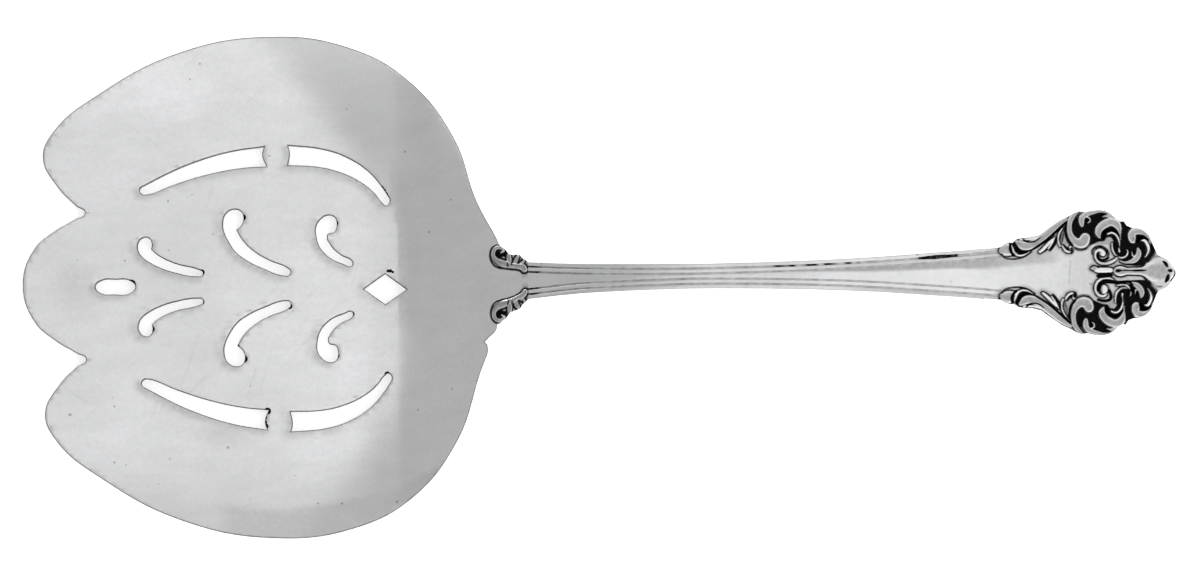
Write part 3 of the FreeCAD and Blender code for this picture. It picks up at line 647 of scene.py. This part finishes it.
# each scroll: height of its top over the face, its shape across, and the line that it follows, with distance
# from the tip, distance from the middle and half width at each point
scrolls = [
    (0.30, flat_leaf, [(-22.5, 2.75, 0.2), (-22.1, 2.95, 0.6), (-21.65, 3.0, 0.85), (-21.35, 2.9, 0.72)]),
    (0.24, rounded, [(-20.85, 3.15, 0.12), (-20.75, 2.7, 0.16), (-20.4, 2.3, 0.17), (-19.8, 2.2, 0.16),
                     (-19.1, 2.4, 0.12), (-18.6, 2.7, 0.08)]),
    (0.26, hollow_leaf, [(-20.3, 3.85, 0.3), (-19.8, 3.5, 0.55), (-19.0, 3.4, 0.6), (-18.2, 3.65, 0.55),
                         (-17.3, 4.25, 0.55), (-16.4, 4.95, 0.52), (-15.5, 5.7, 0.46), (-14.6, 6.35, 0.34),
                         (-14.0, 6.75, 0.2)]),
    (0.22, rounded, [(-19.9, 4.25, 0.18), (-19.2, 4.2, 0.16), (-18.3, 4.3, 0.17), (-17.5, 4.55, 0.16)]),
    (0.2, rounded, [(-17.45, 2.62, 0.2), (-17.0, 2.95, 0.27), (-16.4, 3.55, 0.28), (-15.8, 4.2, 0.18)]),
    (0.2, rounded, [(-16.35, 3.05, 0.12), (-15.9, 3.75, 0.18), (-15.5, 4.5, 0.12)]),
    (0.24, rounded, [(-14.85, 3.35, 0.12), (-15.12, 4.1, 0.17), (-14.95, 4.9, 0.16), (-14.5, 5.6, 0.12)]),
    (0.24, rounded, [(-14.55, 3.4, 0.12), (-14.3, 2.95, 0.17), (-13.9, 2.65, 0.17), (-13.6, 2.6, 0.12)]),
    (0.22, rounded, [(-13.62, 3.05, 0.16), (-13.5, 3.3, 0.17)]),
    (0.42, hollow_leaf, [(-12.4, 7.72, 0.1), (-12.95, 7.3, 0.26), (-13.4, 6.7, 0.35), (-13.6, 5.9, 0.37),
                         (-13.57, 5.0, 0.42), (-13.15, 4.2, 0.53), (-12.45, 3.75, 0.7), (-11.8, 3.95, 0.8),
                         (-11.6, 4.4, 0.72)]),
    (0.40, hollow_leaf, [(-12.0, 6.0, 0.3), (-12.05, 6.45, 0.44), (-11.95, 6.95, 0.44), (-11.4, 7.35, 0.34),
                         (-10.6, 7.58, 0.27), (-9.8, 7.72, 0.18), (-9.0, 7.66, 0.14), (-8.35, 7.4, 0.1)]),
    (0.34, rounded, [(-11.35, 7.05, 0.13), (-10.97, 6.82, 0.15), (-10.97, 6.48, 0.14),
                     (-11.22, 6.28, 0.09)]),
    (0.42, hollow_leaf, [(-9.72, 4.5, 0.24), (-9.92, 5.05, 0.5), (-9.62, 5.7, 0.6), (-8.98, 6.2, 0.62),
                         (-8.2, 6.4, 0.58), (-7.55, 6.12, 0.55), (-7.2, 5.5, 0.35), (-7.08, 4.8, 0.15),
                         (-7.0, 4.2, 0.08)]),
    (0.3, flat_leaf, [(-9.35, 7.08, 0.1), (-8.75, 7.2, 0.22), (-8.2, 7.1, 0.25), (-7.8, 6.85, 0.16)]),
    (0.44, rounded, [(-8.72, 4.88, 0.17), (-8.2, 5.05, 0.2), (-7.72, 4.85, 0.2), (-7.38, 4.35, 0.2),
                     (-7.22, 3.7, 0.16), (-7.25, 3.1, 0.1)]),
    (0.2, rounded, [(-7.3, 3.0, 0.15), (-7.25, 2.7, 0.22)]),
    (0.34, rounded, [(-8.15, 3.75, 0.09), (-8.15, 3.2, 0.15), (-7.98, 2.6, 0.16), (-7.6, 2.12, 0.17),
                     (-7.1, 1.9, 0.17), (-6.6, 1.97, 0.17), (-6.25, 2.3, 0.17), (-6.17, 2.72, 0.15),
                     (-6.28, 2.92, 0.1)]),
    (0.42, hollow_leaf, [(-5.5, 4.2, 0.56), (-5.62, 4.6, 0.6), (-5.4, 5.1, 0.54), (-4.75, 5.25, 0.44),
                         (-4.05, 5.0, 0.32), (-3.5, 4.45, 0.22), (-3.18, 3.8, 0.14)]),
    (0.40, rounded, [(-4.4, 4.08, 0.12), (-4.02, 4.12, 0.26), (-3.68, 3.7, 0.3), (-3.48, 3.1, 0.28),
                     (-3.6, 2.5, 0.2), (-3.95, 1.95, 0.1)]),
    (0.34, hollow_leaf, [(-4.85, 3.05, 0.2), (-4.75, 2.55, 0.4), (-4.95, 2.0, 0.44), (-5.35, 1.6, 0.4),
                         (-5.95, 1.38, 0.25), (-6.6, 1.3, 0.16), (-7.15, 1.5, 0.1)]),
    (0.2, rounded, [(-5.6, 2.65, 0.1), (-5.55, 2.2, 0.17)]),
]
far_volute = [
    (0.3, rounded, [(-7.55, 1.9, 0.1), (-7.95, 1.55, 0.19), (-8.6, 1.25, 0.22), (-9.35, 1.13, 0.2),
                    (-9.98, 1.38, 0.2), (-10.33, 1.95, 0.19), (-10.28, 2.55, 0.19), (-9.9, 2.87, 0.2),
                    (-9.55, 2.75, 0.3), (-9.38, 2.45, 0.44)]),
]
far_cuts = [
    (0.3, 1.0, [(-10.05, 2.35, 0.1), (-10.0, 1.95, 0.14), (-9.7, 1.6, 0.14), (-9.2, 1.62, 0.12),
                (-8.75, 1.85, 0.12)]),
    (0.2, 0.85, [(-10.75, 2.3, 0.06), (-10.72, 2.8, 0.1), (-10.3, 3.22, 0.12), (-9.7, 3.34, 0.13),
                 (-9.1, 3.08, 0.14), (-8.7, 2.55, 0.14), (-8.7, 1.95, 0.12)]),
]
near_volute = [
    (0.32, rounded, [(-8.0, 0.95, 0.1), (-8.6, 0.72, 0.19), (-9.3, 0.67, 0.2), (-9.92, 0.98, 0.2),
                     (-10.36, 1.6, 0.2), (-10.36, 2.35, 0.2), (-9.95, 2.85, 0.2), (-9.35, 2.95, 0.18),
                     (-8.95, 2.7, 0.1)]),
    (0.34, rounded, [(-9.35, 2.4, 0.34), (-9.25, 2.05, 0.5), (-9.3, 1.9, 0.42)]),
    (0.3, rounded, [(-7.7, 1.62, 0.06), (-7.2, 1.55, 0.12), (-6.6, 1.55, 0.14), (-6.1, 1.8, 0.15),
                    (-6.0, 2.2, 0.12)]),
]
near_cuts = [
    (0.4, 1.0, [(-10.05, 2.3, 0.1), (-9.98, 1.75, 0.16), (-9.6, 1.28, 0.2), (-9.0, 1.1, 0.22),
                (-8.2, 1.15, 0.22), (-7.4, 1.22, 0.18), (-6.7, 1.15, 0.14), (-6.0, 1.2, 0.12),
                (-5.7, 1.6, 0.12), (-5.6, 2.3, 0.12)]),
    (0.4, 1.0, [(-8.65, 2.2, 0.12), (-8.45, 2.7, 0.14), (-8.5, 3.3, 0.16), (-9.2, 3.55, 0.14),
                (-10.1, 3.4, 0.12)]),
]
# the middle bar with its shell and the motif before it lie on the axis, a little off it as the die was cut
bar_offset = 0.2
bar_scrolls = [
    (0.36, flat_leaf, [(-7.75, 0, 0.35), (-7.4, 0, 0.66), (-6.6, 0, 0.55), (-5.4, 0, 0.5), (-4.4, 0, 0.56),
                       (-3.7, 0, 0.85), (-3.0, 0, 1.35), (-2.35, 0, 1.78), (-1.75, 0, 1.72), (-1.35, 0, 1.4),
                       (-1.0, 0, 0.95)]),
    (0.30, rounded, [(-10.45, 0.05, 0.12), (-10.2, 0.08, 0.3), (-9.8, 0.1, 0.4), (-9.1, 0.12, 0.4),
                     (-8.4, 0.12, 0.34)]),
    (0.12, flat_leaf, [(-10.95, 0.3, 0.1), (-10.6, 0.35, 0.3), (-10.2, 0.3, 0.25)]),
]
# lines cut deep into the metal and filled with black: depth, darkness, and the line with its half widths
cuts = [
    (0.35, 1.0, [(-21.15, 3.75, 0.1), (-21.2, 3.2, 0.15), (-21.1, 2.7, 0.14), (-20.75, 2.2, 0.1)]),
    (0.35, 1.0, [(-20.75, 3.85, 0.12), (-20.55, 3.4, 0.2), (-20.3, 2.95, 0.22), (-19.85, 2.62, 0.17),
                 (-19.2, 2.68, 0.1)]),
    (0.2, 0.9, [(-19.6, 4.3, 0.08), (-19.2, 3.98, 0.1), (-18.6, 3.87, 0.09), (-17.9, 4.03, 0.07),
                (-17.4, 4.4, 0.05)]),
    (0.3, 0.95, [(-18.7, 2.75, 0.06), (-17.7, 3.35, 0.12), (-16.6, 4.1, 0.13), (-15.6, 4.95, 0.14),
                 (-14.6, 5.85, 0.14), (-14.1, 6.3, 0.12)]),
    (0.2, 0.9, [(-16.15, 2.75, 0.09), (-15.65, 3.4, 0.13), (-15.3, 4.15, 0.12), (-15.25, 4.6, 0.06)]),
    (0.12, 0.55, [(-16.95, 2.65, 0.05), (-16.5, 3.1, 0.06), (-16.1, 3.6, 0.05)]),
    (0.16, 0.7, [(-14.7, 3.7, 0.1), (-14.6, 4.4, 0.22), (-14.4, 5.1, 0.2), (-14.1, 5.6, 0.1)]),
    (0.2, 0.9, [(-14.15, 5.9, 0.1), (-14.05, 4.9, 0.13), (-13.8, 4.1, 0.15), (-13.35, 3.5, 0.14)]),
    (0.2, 1.0, [(-14.35, 3.5, 0.1), (-14.05, 3.15, 0.12), (-13.8, 2.95, 0.1)]),
    (0.16, 0.9, [(-13.3, 3.0, 0.1), (-13.25, 2.7, 0.16), (-13.45, 2.42, 0.08)]),
    (0.25, 1.0, [(-11.5, 6.3, 0.1), (-11.42, 6.55, 0.14), (-11.3, 6.75, 0.08)]),
    (0.35, 1.0, [(-9.35, 4.5, 0.22), (-9.28, 5.0, 0.2), (-8.95, 5.38, 0.15), (-8.35, 5.5, 0.14),
                 (-7.8, 5.25, 0.12), (-7.3, 4.75, 0.08)]),
    (0.1, 0.7, [(-5.43, 4.36, 0.1), (-5.4, 4.4, 0.08)]),
    (0.35, 1.0, [(-4.95, 4.0, 0.2), (-4.75, 4.45, 0.18), (-4.35, 4.65, 0.14), (-3.9, 4.55, 0.1),
                 (-3.45, 4.15, 0.08)]),
    (0.3, 1.0, [(-5.33, 2.6, 0.12), (-5.3, 2.45, 0.13)]),
    (0.12, 0.75, [(-13.9, 3.0, 0.04), (-13.1, 3.05, 0.1), (-12.3, 2.85, 0.11), (-11.5, 3.05, 0.12)]),
    (0.12, 0.8, [(-22.5, 2.4, 0.05), (-21.9, 1.98, 0.09), (-21.2, 1.8, 0.1), (-20.4, 1.8, 0.1),
                 (-19.6, 1.98, 0.09), (-18.9, 2.4, 0.09), (-18.5, 2.7, 0.08)]),
    (0.2, 0.9, [(-10.05, 0.78, 0.12), (-9.95, 0.75, 0.12)]),
]
axis_cuts = [
    (0.22, 0.95, [(-7.55, 0.05, 0.2), (-7.35, 0.06, 0.17), (-7.1, 0.08, 0.08), (-5.5, 0.08, 0.07),
                  (-4.4, 0.1, 0.09), (-3.9, 0.1, 0.05)]),
    (0.3, 1.0, [(-10.1, -0.62, 0.15), (-9.7, -0.6, 0.24), (-9.0, -0.52, 0.26), (-8.3, -0.5, 0.16)]),
    (0.25, 1.0, [(-1.6, 1.25, 0.08), (-1.3, 1.0, 0.2), (-1.12, 0.65, 0.12)]),
    (0.25, 1.0, [(-1.3, -1.3, 0.1), (-1.08, -0.9, 0.24), (-0.98, -0.5, 0.14)]),
    (0.2, 1.0, [(-0.85, 0.1, 0.16), (-0.62, 0.1, 0.2)]),
    (0.08, 0.25, [(-2.1, 0.75, 0.1), (-1.8, 0.45, 0.16), (-1.75, 0.1, 0.1)]),
    (0.12, 0.6, [(-3.6, 1.15, 0.05), (-3.2, 1.5, 0.09), (-2.6, 1.86, 0.1), (-1.9, 1.92, 0.1)]),
    (0.12, 0.6, [(-3.6, -1.15, 0.05), (-3.2, -1.5, 0.12), (-2.6, -1.86, 0.1), (-1.9, -1.92, 0.1)]),
]
pit = [(-12.1, 7.6), (-12.7, 7.0), (-13.2, 6.4), (-13.5, 5.4), (-13.1, 4.3), (-12.0, 3.9), (-11.2, 3.3),
       (-10.6, 3.62), (-9.9, 3.92), (-9.2, 3.98), (-8.85, 4.45), (-8.3, 4.52), (-8.0, 4.1), (-8.05, 3.3),
       (-7.8, 2.4), (-7.2, 1.95), (-7.0, 1.6), (-7.4, 1.35), (-6.6, 1.0), (-5.0, 0.85), (-3.7, 0.95),
       (-3.4, 1.5), (-2.7, 2.2), (-2.5, 2.75), (-2.8, 3.5), (-3.4, 4.7), (-5.0, 5.9), (-6.1, 6.0),
       (-6.6, 6.7), (-7.6, 6.6), (-8.5, 7.5), (-10.0, 7.7), (-11.0, 7.6)]
pit_depth = 0.42
end_edge = np.array([
    (-24.7, 3.08), (-22.5, 3.3), (-21.9, 3.72), (-21.3, 3.9), (-20.9, 3.85), (-20.3, 4.3), (-19.6, 4.42),
    (-18.6, 4.45), (-17.4, 4.75), (-16.6, 5.35), (-15.8, 5.92), (-14.8, 6.6), (-13.9, 7.0), (-13.0, 7.5),
    (-12.3, 7.75), (-11.5, 7.65), (-10.6, 7.85), (-9.7, 7.92), (-8.9, 7.8), (-8.2, 7.45), (-7.6, 6.85),
    (-7.0, 6.5), (-6.6, 6.55), (-6.2, 6.0), (-5.6, 5.75), (-4.8, 5.7), (-4.0, 5.35), (-3.4, 4.8),
    (-3.05, 4.0), (-2.7, 3.2), (-2.5, 2.7), (-2.25, 2.25), (-1.8, 2.05), (-1.3, 1.85), (-0.9, 1.5),
    (-0.55, 1.02), (-0.3, 0.65), (-0.1, 0.4), (0.0, 0.15)])


def scroll_half(x):
    return np.interp(x - tip, end_edge[:, 0], end_edge[:, 1])


def inside(x, y, ring):
    crossings = np.zeros(x.shape, int)
    for (ax, ay), (bx, by) in zip(ring, np.roll(ring, -1, axis=0)):
        between = (y < ay) != (y < by)
        crossings += between & (x < ax + (y - ay) / (by - ay + 1e-12) * (bx - ax))
    return crossings % 2 == 1


def distance_to(x, y, ring):
    best = np.full(x.shape, 9.0)
    for (ax, ay), (bx, by) in zip(ring, np.roll(ring, -1, axis=0)):
        run = np.array((bx - ax, by - ay))
        share = np.clip(((x - ax) * run[0] + (y - ay) * run[1]) / (run @ run + 1e-12), 0, 1)
        best = np.minimum(best, np.hypot(x - ax - share * run[0], y - ay - share * run[1]))
    return best


def struck(x, y, base, base_dark, ridges, graver, foot_width=0.12):
    # ridges stand on the base with bright rims and with tops painted a darker grey, painted shade; a painted
    # shadow gathers at their feet, and the graver's lines are cut last
    relief, dark = base.copy(), base_dark.copy()
    ridge, union, top_dark = np.full(x.shape, -9.0), np.full(x.shape, 9.0), np.zeros_like(x)
    for height, across, points in ridges:
        share, gap = swept(x, y, points)
        foot = base.min() if height > 0.38 else -0.3
        level = np.where(share < 1, foot + (height * 0.35 - foot) * across(share), -9.0)
        painted_shade = top_painted_shade[across] * (1 - eased((share - 0.4) / 0.42))
        top_dark = np.where(level > ridge, painted_shade, top_dark)
        ridge = np.maximum(ridge, level)
        union = np.minimum(union, gap)
    on_top = ridge > relief
    relief = np.where(on_top, ridge, relief)
    dark = np.where(on_top, top_dark, dark)
    beside = np.clip(union, 0, 9)
    foot_painted_shadow = 0.8 * np.exp(-(beside / foot_width) ** 2) + 0.42 * np.exp(-(beside / 0.55) ** 2)
    dark = np.where(on_top, dark, np.maximum(dark, foot_painted_shadow))
    for depth, amount, points in graver:
        share, gap = swept(x, y, points)
        body = np.clip((1.1 - share) / 0.45, 0, 1)
        relief = relief - depth * body
        dark = np.maximum(dark, amount * np.clip((1.35 - share) / 0.45, 0, 1))
    return relief, dark, union


def end_carved(x, y):
    relief, dark = handle_face(x, y)
    local, across = x - tip, np.abs(y)
    along = np.where(y < 0, local - 0.3, local)
    in_pit = inside(along, across, pit)
    wall = np.clip(distance_to(along, across, pit) / 0.14, 0, 1)
    sunk = np.where(in_pit, wall, 0)
    relief = relief * (1 - sunk) - pit_depth * sunk
    dark = np.maximum(dark, sunk)
    # the near half was struck a little further along than the far one
    shifted = np.where(y < 0, local - 0.3 * eased((local + 22.0) / 2.0) * eased((-2.0 - local) / 2.0), local)
    relief, dark, _ = struck(shifted, across, relief, dark, scrolls, cuts)
    far = struck(local, y, relief, dark, far_volute, far_cuts)
    near = struck(local, -y, relief, dark, near_volute, near_cuts)
    relief, dark = (np.where(y > 0.3, a, np.where(y < -0.3, b, c))
                    for a, b, c in ((far[0], near[0], relief), (far[1], near[1], dark)))
    relief, dark, _ = struck(local, y - bar_offset, relief, dark, bar_scrolls, axis_cuts)
    # painted shade along the outline of the end
    dark = np.maximum(dark, 0.5 * (1 - eased((scroll_half(x) - across) / 0.15)))
    scratch = np.exp(-((local + 13.65 - 0.07 * y) / 0.05) ** 2) * (np.abs(y) < 1.5)
    blot = np.exp(-np.hypot((local + 11.0) / 0.26, (y + 1.45 + 0.4 * (local + 11.0)) / 0.14) ** 2)
    blot = blot + np.exp(-np.hypot(local + 12.8, y + 2.3) ** 2 / 0.012)
    dark = np.maximum(dark, 0.55 * scratch + 0.8 * blot)
    return face_over(x) + relief, np.clip(1.15 * dark, 0, 1.2)


crest_start = tip - 14.2
end_columns = int(400 * fineness)
struck_bar("scroll_end", end_seam, crest_start, int(180 * fineness), end_columns, scroll_half, end_carved,
           soften=2)
struck_bar("scroll_crest", crest_start, tip - 0.01, int(230 * fineness), end_columns, scroll_half, end_carved,
           soften=2)

# Shoulders: on each side a curled scroll with three lobes covers the place where the stem leaves the blade,
# struck with the handle. Black polish stays in its eye and between the lobes.
shoulder_ridges = [
    (0.42, hollow_leaf, [(-0.35, 4.35, 0.16), (-0.75, 4.6, 0.22), (-1.25, 4.5, 0.26), (-1.55, 3.95, 0.27),
                         (-1.5, 3.35, 0.33), (-1.05, 2.8, 0.48), (-0.4, 2.55, 0.5), (0.3, 2.35, 0.4),
                         (1.1, 2.15, 0.36), (1.8, 1.95, 0.36), (2.45, 1.7, 0.42), (2.65, 1.4, 0.36)]),
    (0.3, rounded, [(-0.55, 3.95, 0.12), (-0.2, 4.15, 0.16)]),
    (0.4, flat_leaf, [(0.45, 3.55, 0.28), (0.5, 3.1, 0.36), (0.55, 2.6, 0.3)]),
    (0.38, flat_leaf, [(1.75, 3.15, 0.25), (1.5, 2.8, 0.32), (1.35, 2.4, 0.28)]),
    (0.35, flat_leaf, [(2.55, 2.55, 0.18), (2.3, 2.25, 0.26)]),
]
shoulder_cuts = [
    (0.3, 1.0, [(-1.0, 4.05, 0.2), (-0.95, 3.75, 0.24), (-0.6, 3.55, 0.22), (-0.2, 3.7, 0.2),
                (-0.05, 3.5, 0.12)]),
    (0.3, 1.0, [(-0.05, 3.8, 0.1), (0.1, 4.15, 0.14), (0.3, 4.3, 0.12)]),
    (0.2, 0.8, [(0.2, 2.7, 0.06), (0.25, 2.35, 0.12), (0.3, 2.1, 0.07)]),
    (0.2, 0.8, [(0.8, 2.6, 0.08), (0.85, 2.35, 0.1)]),
    (0.25, 1.0, [(1.75, 3.5, 0.07), (1.5, 3.4, 0.1), (1.15, 3.05, 0.11)]),
    (0.25, 0.9, [(2.35, 2.6, 0.1), (2.05, 2.55, 0.12)]),
    (0.12, 0.75, [(-0.9, 5.0, 0.07), (-1.5, 4.75, 0.09), (-1.88, 4.2, 0.1), (-1.85, 3.4, 0.1),
                  (-1.4, 2.7, 0.1), (-0.8, 2.2, 0.1), (0.0, 1.85, 0.1), (0.9, 1.68, 0.1), (1.6, 1.55, 0.11),
                  (2.1, 1.3, 0.11), (2.35, 1.0, 0.1)]),
    (0.15, 1.0, [(2.55, 0.85, 0.1), (2.7, 0.82, 0.1)]),
]
shoulder_edge = np.array([(-2.3, 3.6), (-1.9, 4.3), (-1.5, 4.9), (-1.0, 5.1), (-0.5, 4.95), (-0.1, 4.6),
                          (0.3, 4.25), (0.6, 3.85), (1.0, 3.6), (1.6, 3.5), (2.0, 3.4), (2.4, 2.9),
                          (2.8, 2.6), (3.1, 2.32)])


def shoulder_half(x):
    return np.interp(x - shoulder, shoulder_edge[:, 0], shoulder_edge[:, 1])


def shoulder_carved(x, y):
    local, across = x - shoulder, np.abs(y)
    local = local - 0.25 * (1 - eased((local - 0.3) / 2.0))
    stem_relief, stem_dark = handle_face(x, y)
    stem = eased((local - 1.6) / 1.5)
    base = -0.2 * (1 - stem) + stem_relief * stem
    relief, dark, gap = struck(local, across, base, stem_dark * stem, shoulder_ridges, shoulder_cuts, 0.2)
    # what is struck stands on the blade, and the rest of the foot lies under it
    eye = (np.hypot(local + 0.7, across - 3.75) < 0.75) | (gap < 0.26)
    relief = np.where(eye & (local < 2.9), np.maximum(relief, -0.1), relief)
    over = (blade_gauge / 2 + 0.14) * (1 - stem) + face_over(x) * stem
    return over + relief, np.clip(1.1 * dark, 0, 1.2)


struck_bar("shoulder_scrolls", shoulder - 2.2, shoulder_seam, int(140 * fineness), int(260 * fineness),
           shoulder_half, shoulder_carved, soften=1)

# Floor: a large sheet of white paper that the server lies on. It glows a little where it is seen, so that it
# stays white behind the silver and in the silver's reflections.
floor_size, floor_gap, paper_glow = 4.0, 0.08, 0.58
bpy.ops.object.select_all(action="DESELECT")
bpy.ops.mesh.primitive_plane_add(size=floor_size, location=(0, 0, -floor_gap * mm))
floor = bpy.context.object
floor.name = "floor"
floor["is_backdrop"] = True
paper = bpy.data.materials.new("paper")
paper.use_nodes = True
paper_nodes, paper_links = paper.node_tree.nodes, paper.node_tree.links
paper_shader = paper_nodes["Principled BSDF"]
paper_shader.inputs["Base Color"].default_value = (0.9, 0.9, 0.9, 1)
paper_shader.inputs["Roughness"].default_value = 0.9
seen = paper_nodes.new("ShaderNodeLightPath")
straight_on = paper_nodes.new("ShaderNodeMath")
straight_on.operation = "MAXIMUM"
paper_links.new(seen.outputs["Is Camera Ray"], straight_on.inputs[0])
paper_links.new(seen.outputs["Is Glossy Ray"], straight_on.inputs[1])
lift_up = paper_nodes.new("ShaderNodeMath")
lift_up.operation = "MULTIPLY"
lift_up.inputs[1].default_value = paper_glow
paper_links.new(straight_on.outputs[0], lift_up.inputs[0])
paper_shader.inputs["Emission Color"].default_value = (1, 1, 1, 1)
paper_links.new(lift_up.outputs[0], paper_shader.inputs["Emission Strength"])
floor.data.materials.append(paper)

# Light: a pale tent round the server, brighter on the side of the handle's tip and darker low down, with two
# soft lamps close to the table.
world = bpy.data.worlds.new("tent")
bpy.context.scene.world = world
world.use_nodes = True
world_nodes, world_links = world.node_tree.nodes, world.node_tree.links
sky = world_nodes["Background"]
direction = world_nodes.new("ShaderNodeTexCoord")
tipward = world_nodes.new("ShaderNodeVectorMath")
tipward.operation = "DOT_PRODUCT"
tipward.inputs[1].default_value = (0.98, -0.2, 0.0)
world_links.new(direction.outputs["Generated"], tipward.inputs[0])
glow = world_nodes.new("ShaderNodeMapRange")
glow.interpolation_type = "SMOOTHSTEP"
glow.inputs["From Min"].default_value = -0.23
glow.inputs["From Max"].default_value = -0.05
glow.inputs["To Min"].default_value = 0.51
glow.inputs["To Max"].default_value = 1.02
world_links.new(tipward.outputs["Value"], glow.inputs["Value"])
height_up = world_nodes.new("ShaderNodeSeparateXYZ")
world_links.new(direction.outputs["Generated"], height_up.inputs[0])
skirt = world_nodes.new("ShaderNodeMapRange")
skirt.interpolation_type = "SMOOTHSTEP"
skirt.inputs["From Min"].default_value = 0.35
skirt.inputs["From Max"].default_value = 0.15
skirt.inputs["To Min"].default_value = 1.0
skirt.inputs["To Max"].default_value = 0.7
world_links.new(height_up.outputs["Z"], skirt.inputs["Value"])
total = world_nodes.new("ShaderNodeMath")
total.operation = "MULTIPLY"
world_links.new(glow.outputs["Result"], total.inputs[0])
world_links.new(skirt.outputs["Result"], total.inputs[1])
world_links.new(total.outputs[0], sky.inputs["Strength"])
sky.inputs["Color"].default_value = (0.97, 0.98, 1.0, 1)


def soft_lamp(name, place, size, watts):
    bpy.ops.object.light_add(type="AREA", location=place)
    lamp = bpy.context.object
    lamp.name = name
    lamp.data.size = size
    lamp.data.energy = watts
    lamp.rotation_euler = (-Vector(place)).to_track_quat("-Z", "Y").to_euler()


soft_lamp("key", (-0.40, 0.52, 0.16), 0.3, 1.2)
soft_lamp("fill", (0.40, -0.30, 0.12), 0.5, 0.3)

# Camera: nearly straight above, as the photo was taken, and through a long lens, so that the handle isn't
# drawn larger for standing nearer. It is turned a little, to lay the server as in the photo.
view_width = 152.2 * mm
lens_mm, sensor_mm = 200.0, 36.0
camera_tilt = math.radians(3.75)
camera_roll = math.radians(-0.80)
aim = Vector((-0.65 * mm, 0.2 * mm, 0.0))
distance = view_width * lens_mm / sensor_mm
from_server = Vector((0, -math.sin(camera_tilt), math.cos(camera_tilt)))
bpy.ops.object.camera_add(location=aim + from_server * distance, rotation=(camera_tilt, 0, camera_roll))
camera = bpy.context.object
camera.data.lens = lens_mm
camera.data.sensor_width = sensor_mm
camera.data.clip_end = 10
bpy.context.scene.camera = camera
bpy.context.scene.view_settings.view_transform = "Standard"

low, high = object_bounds()
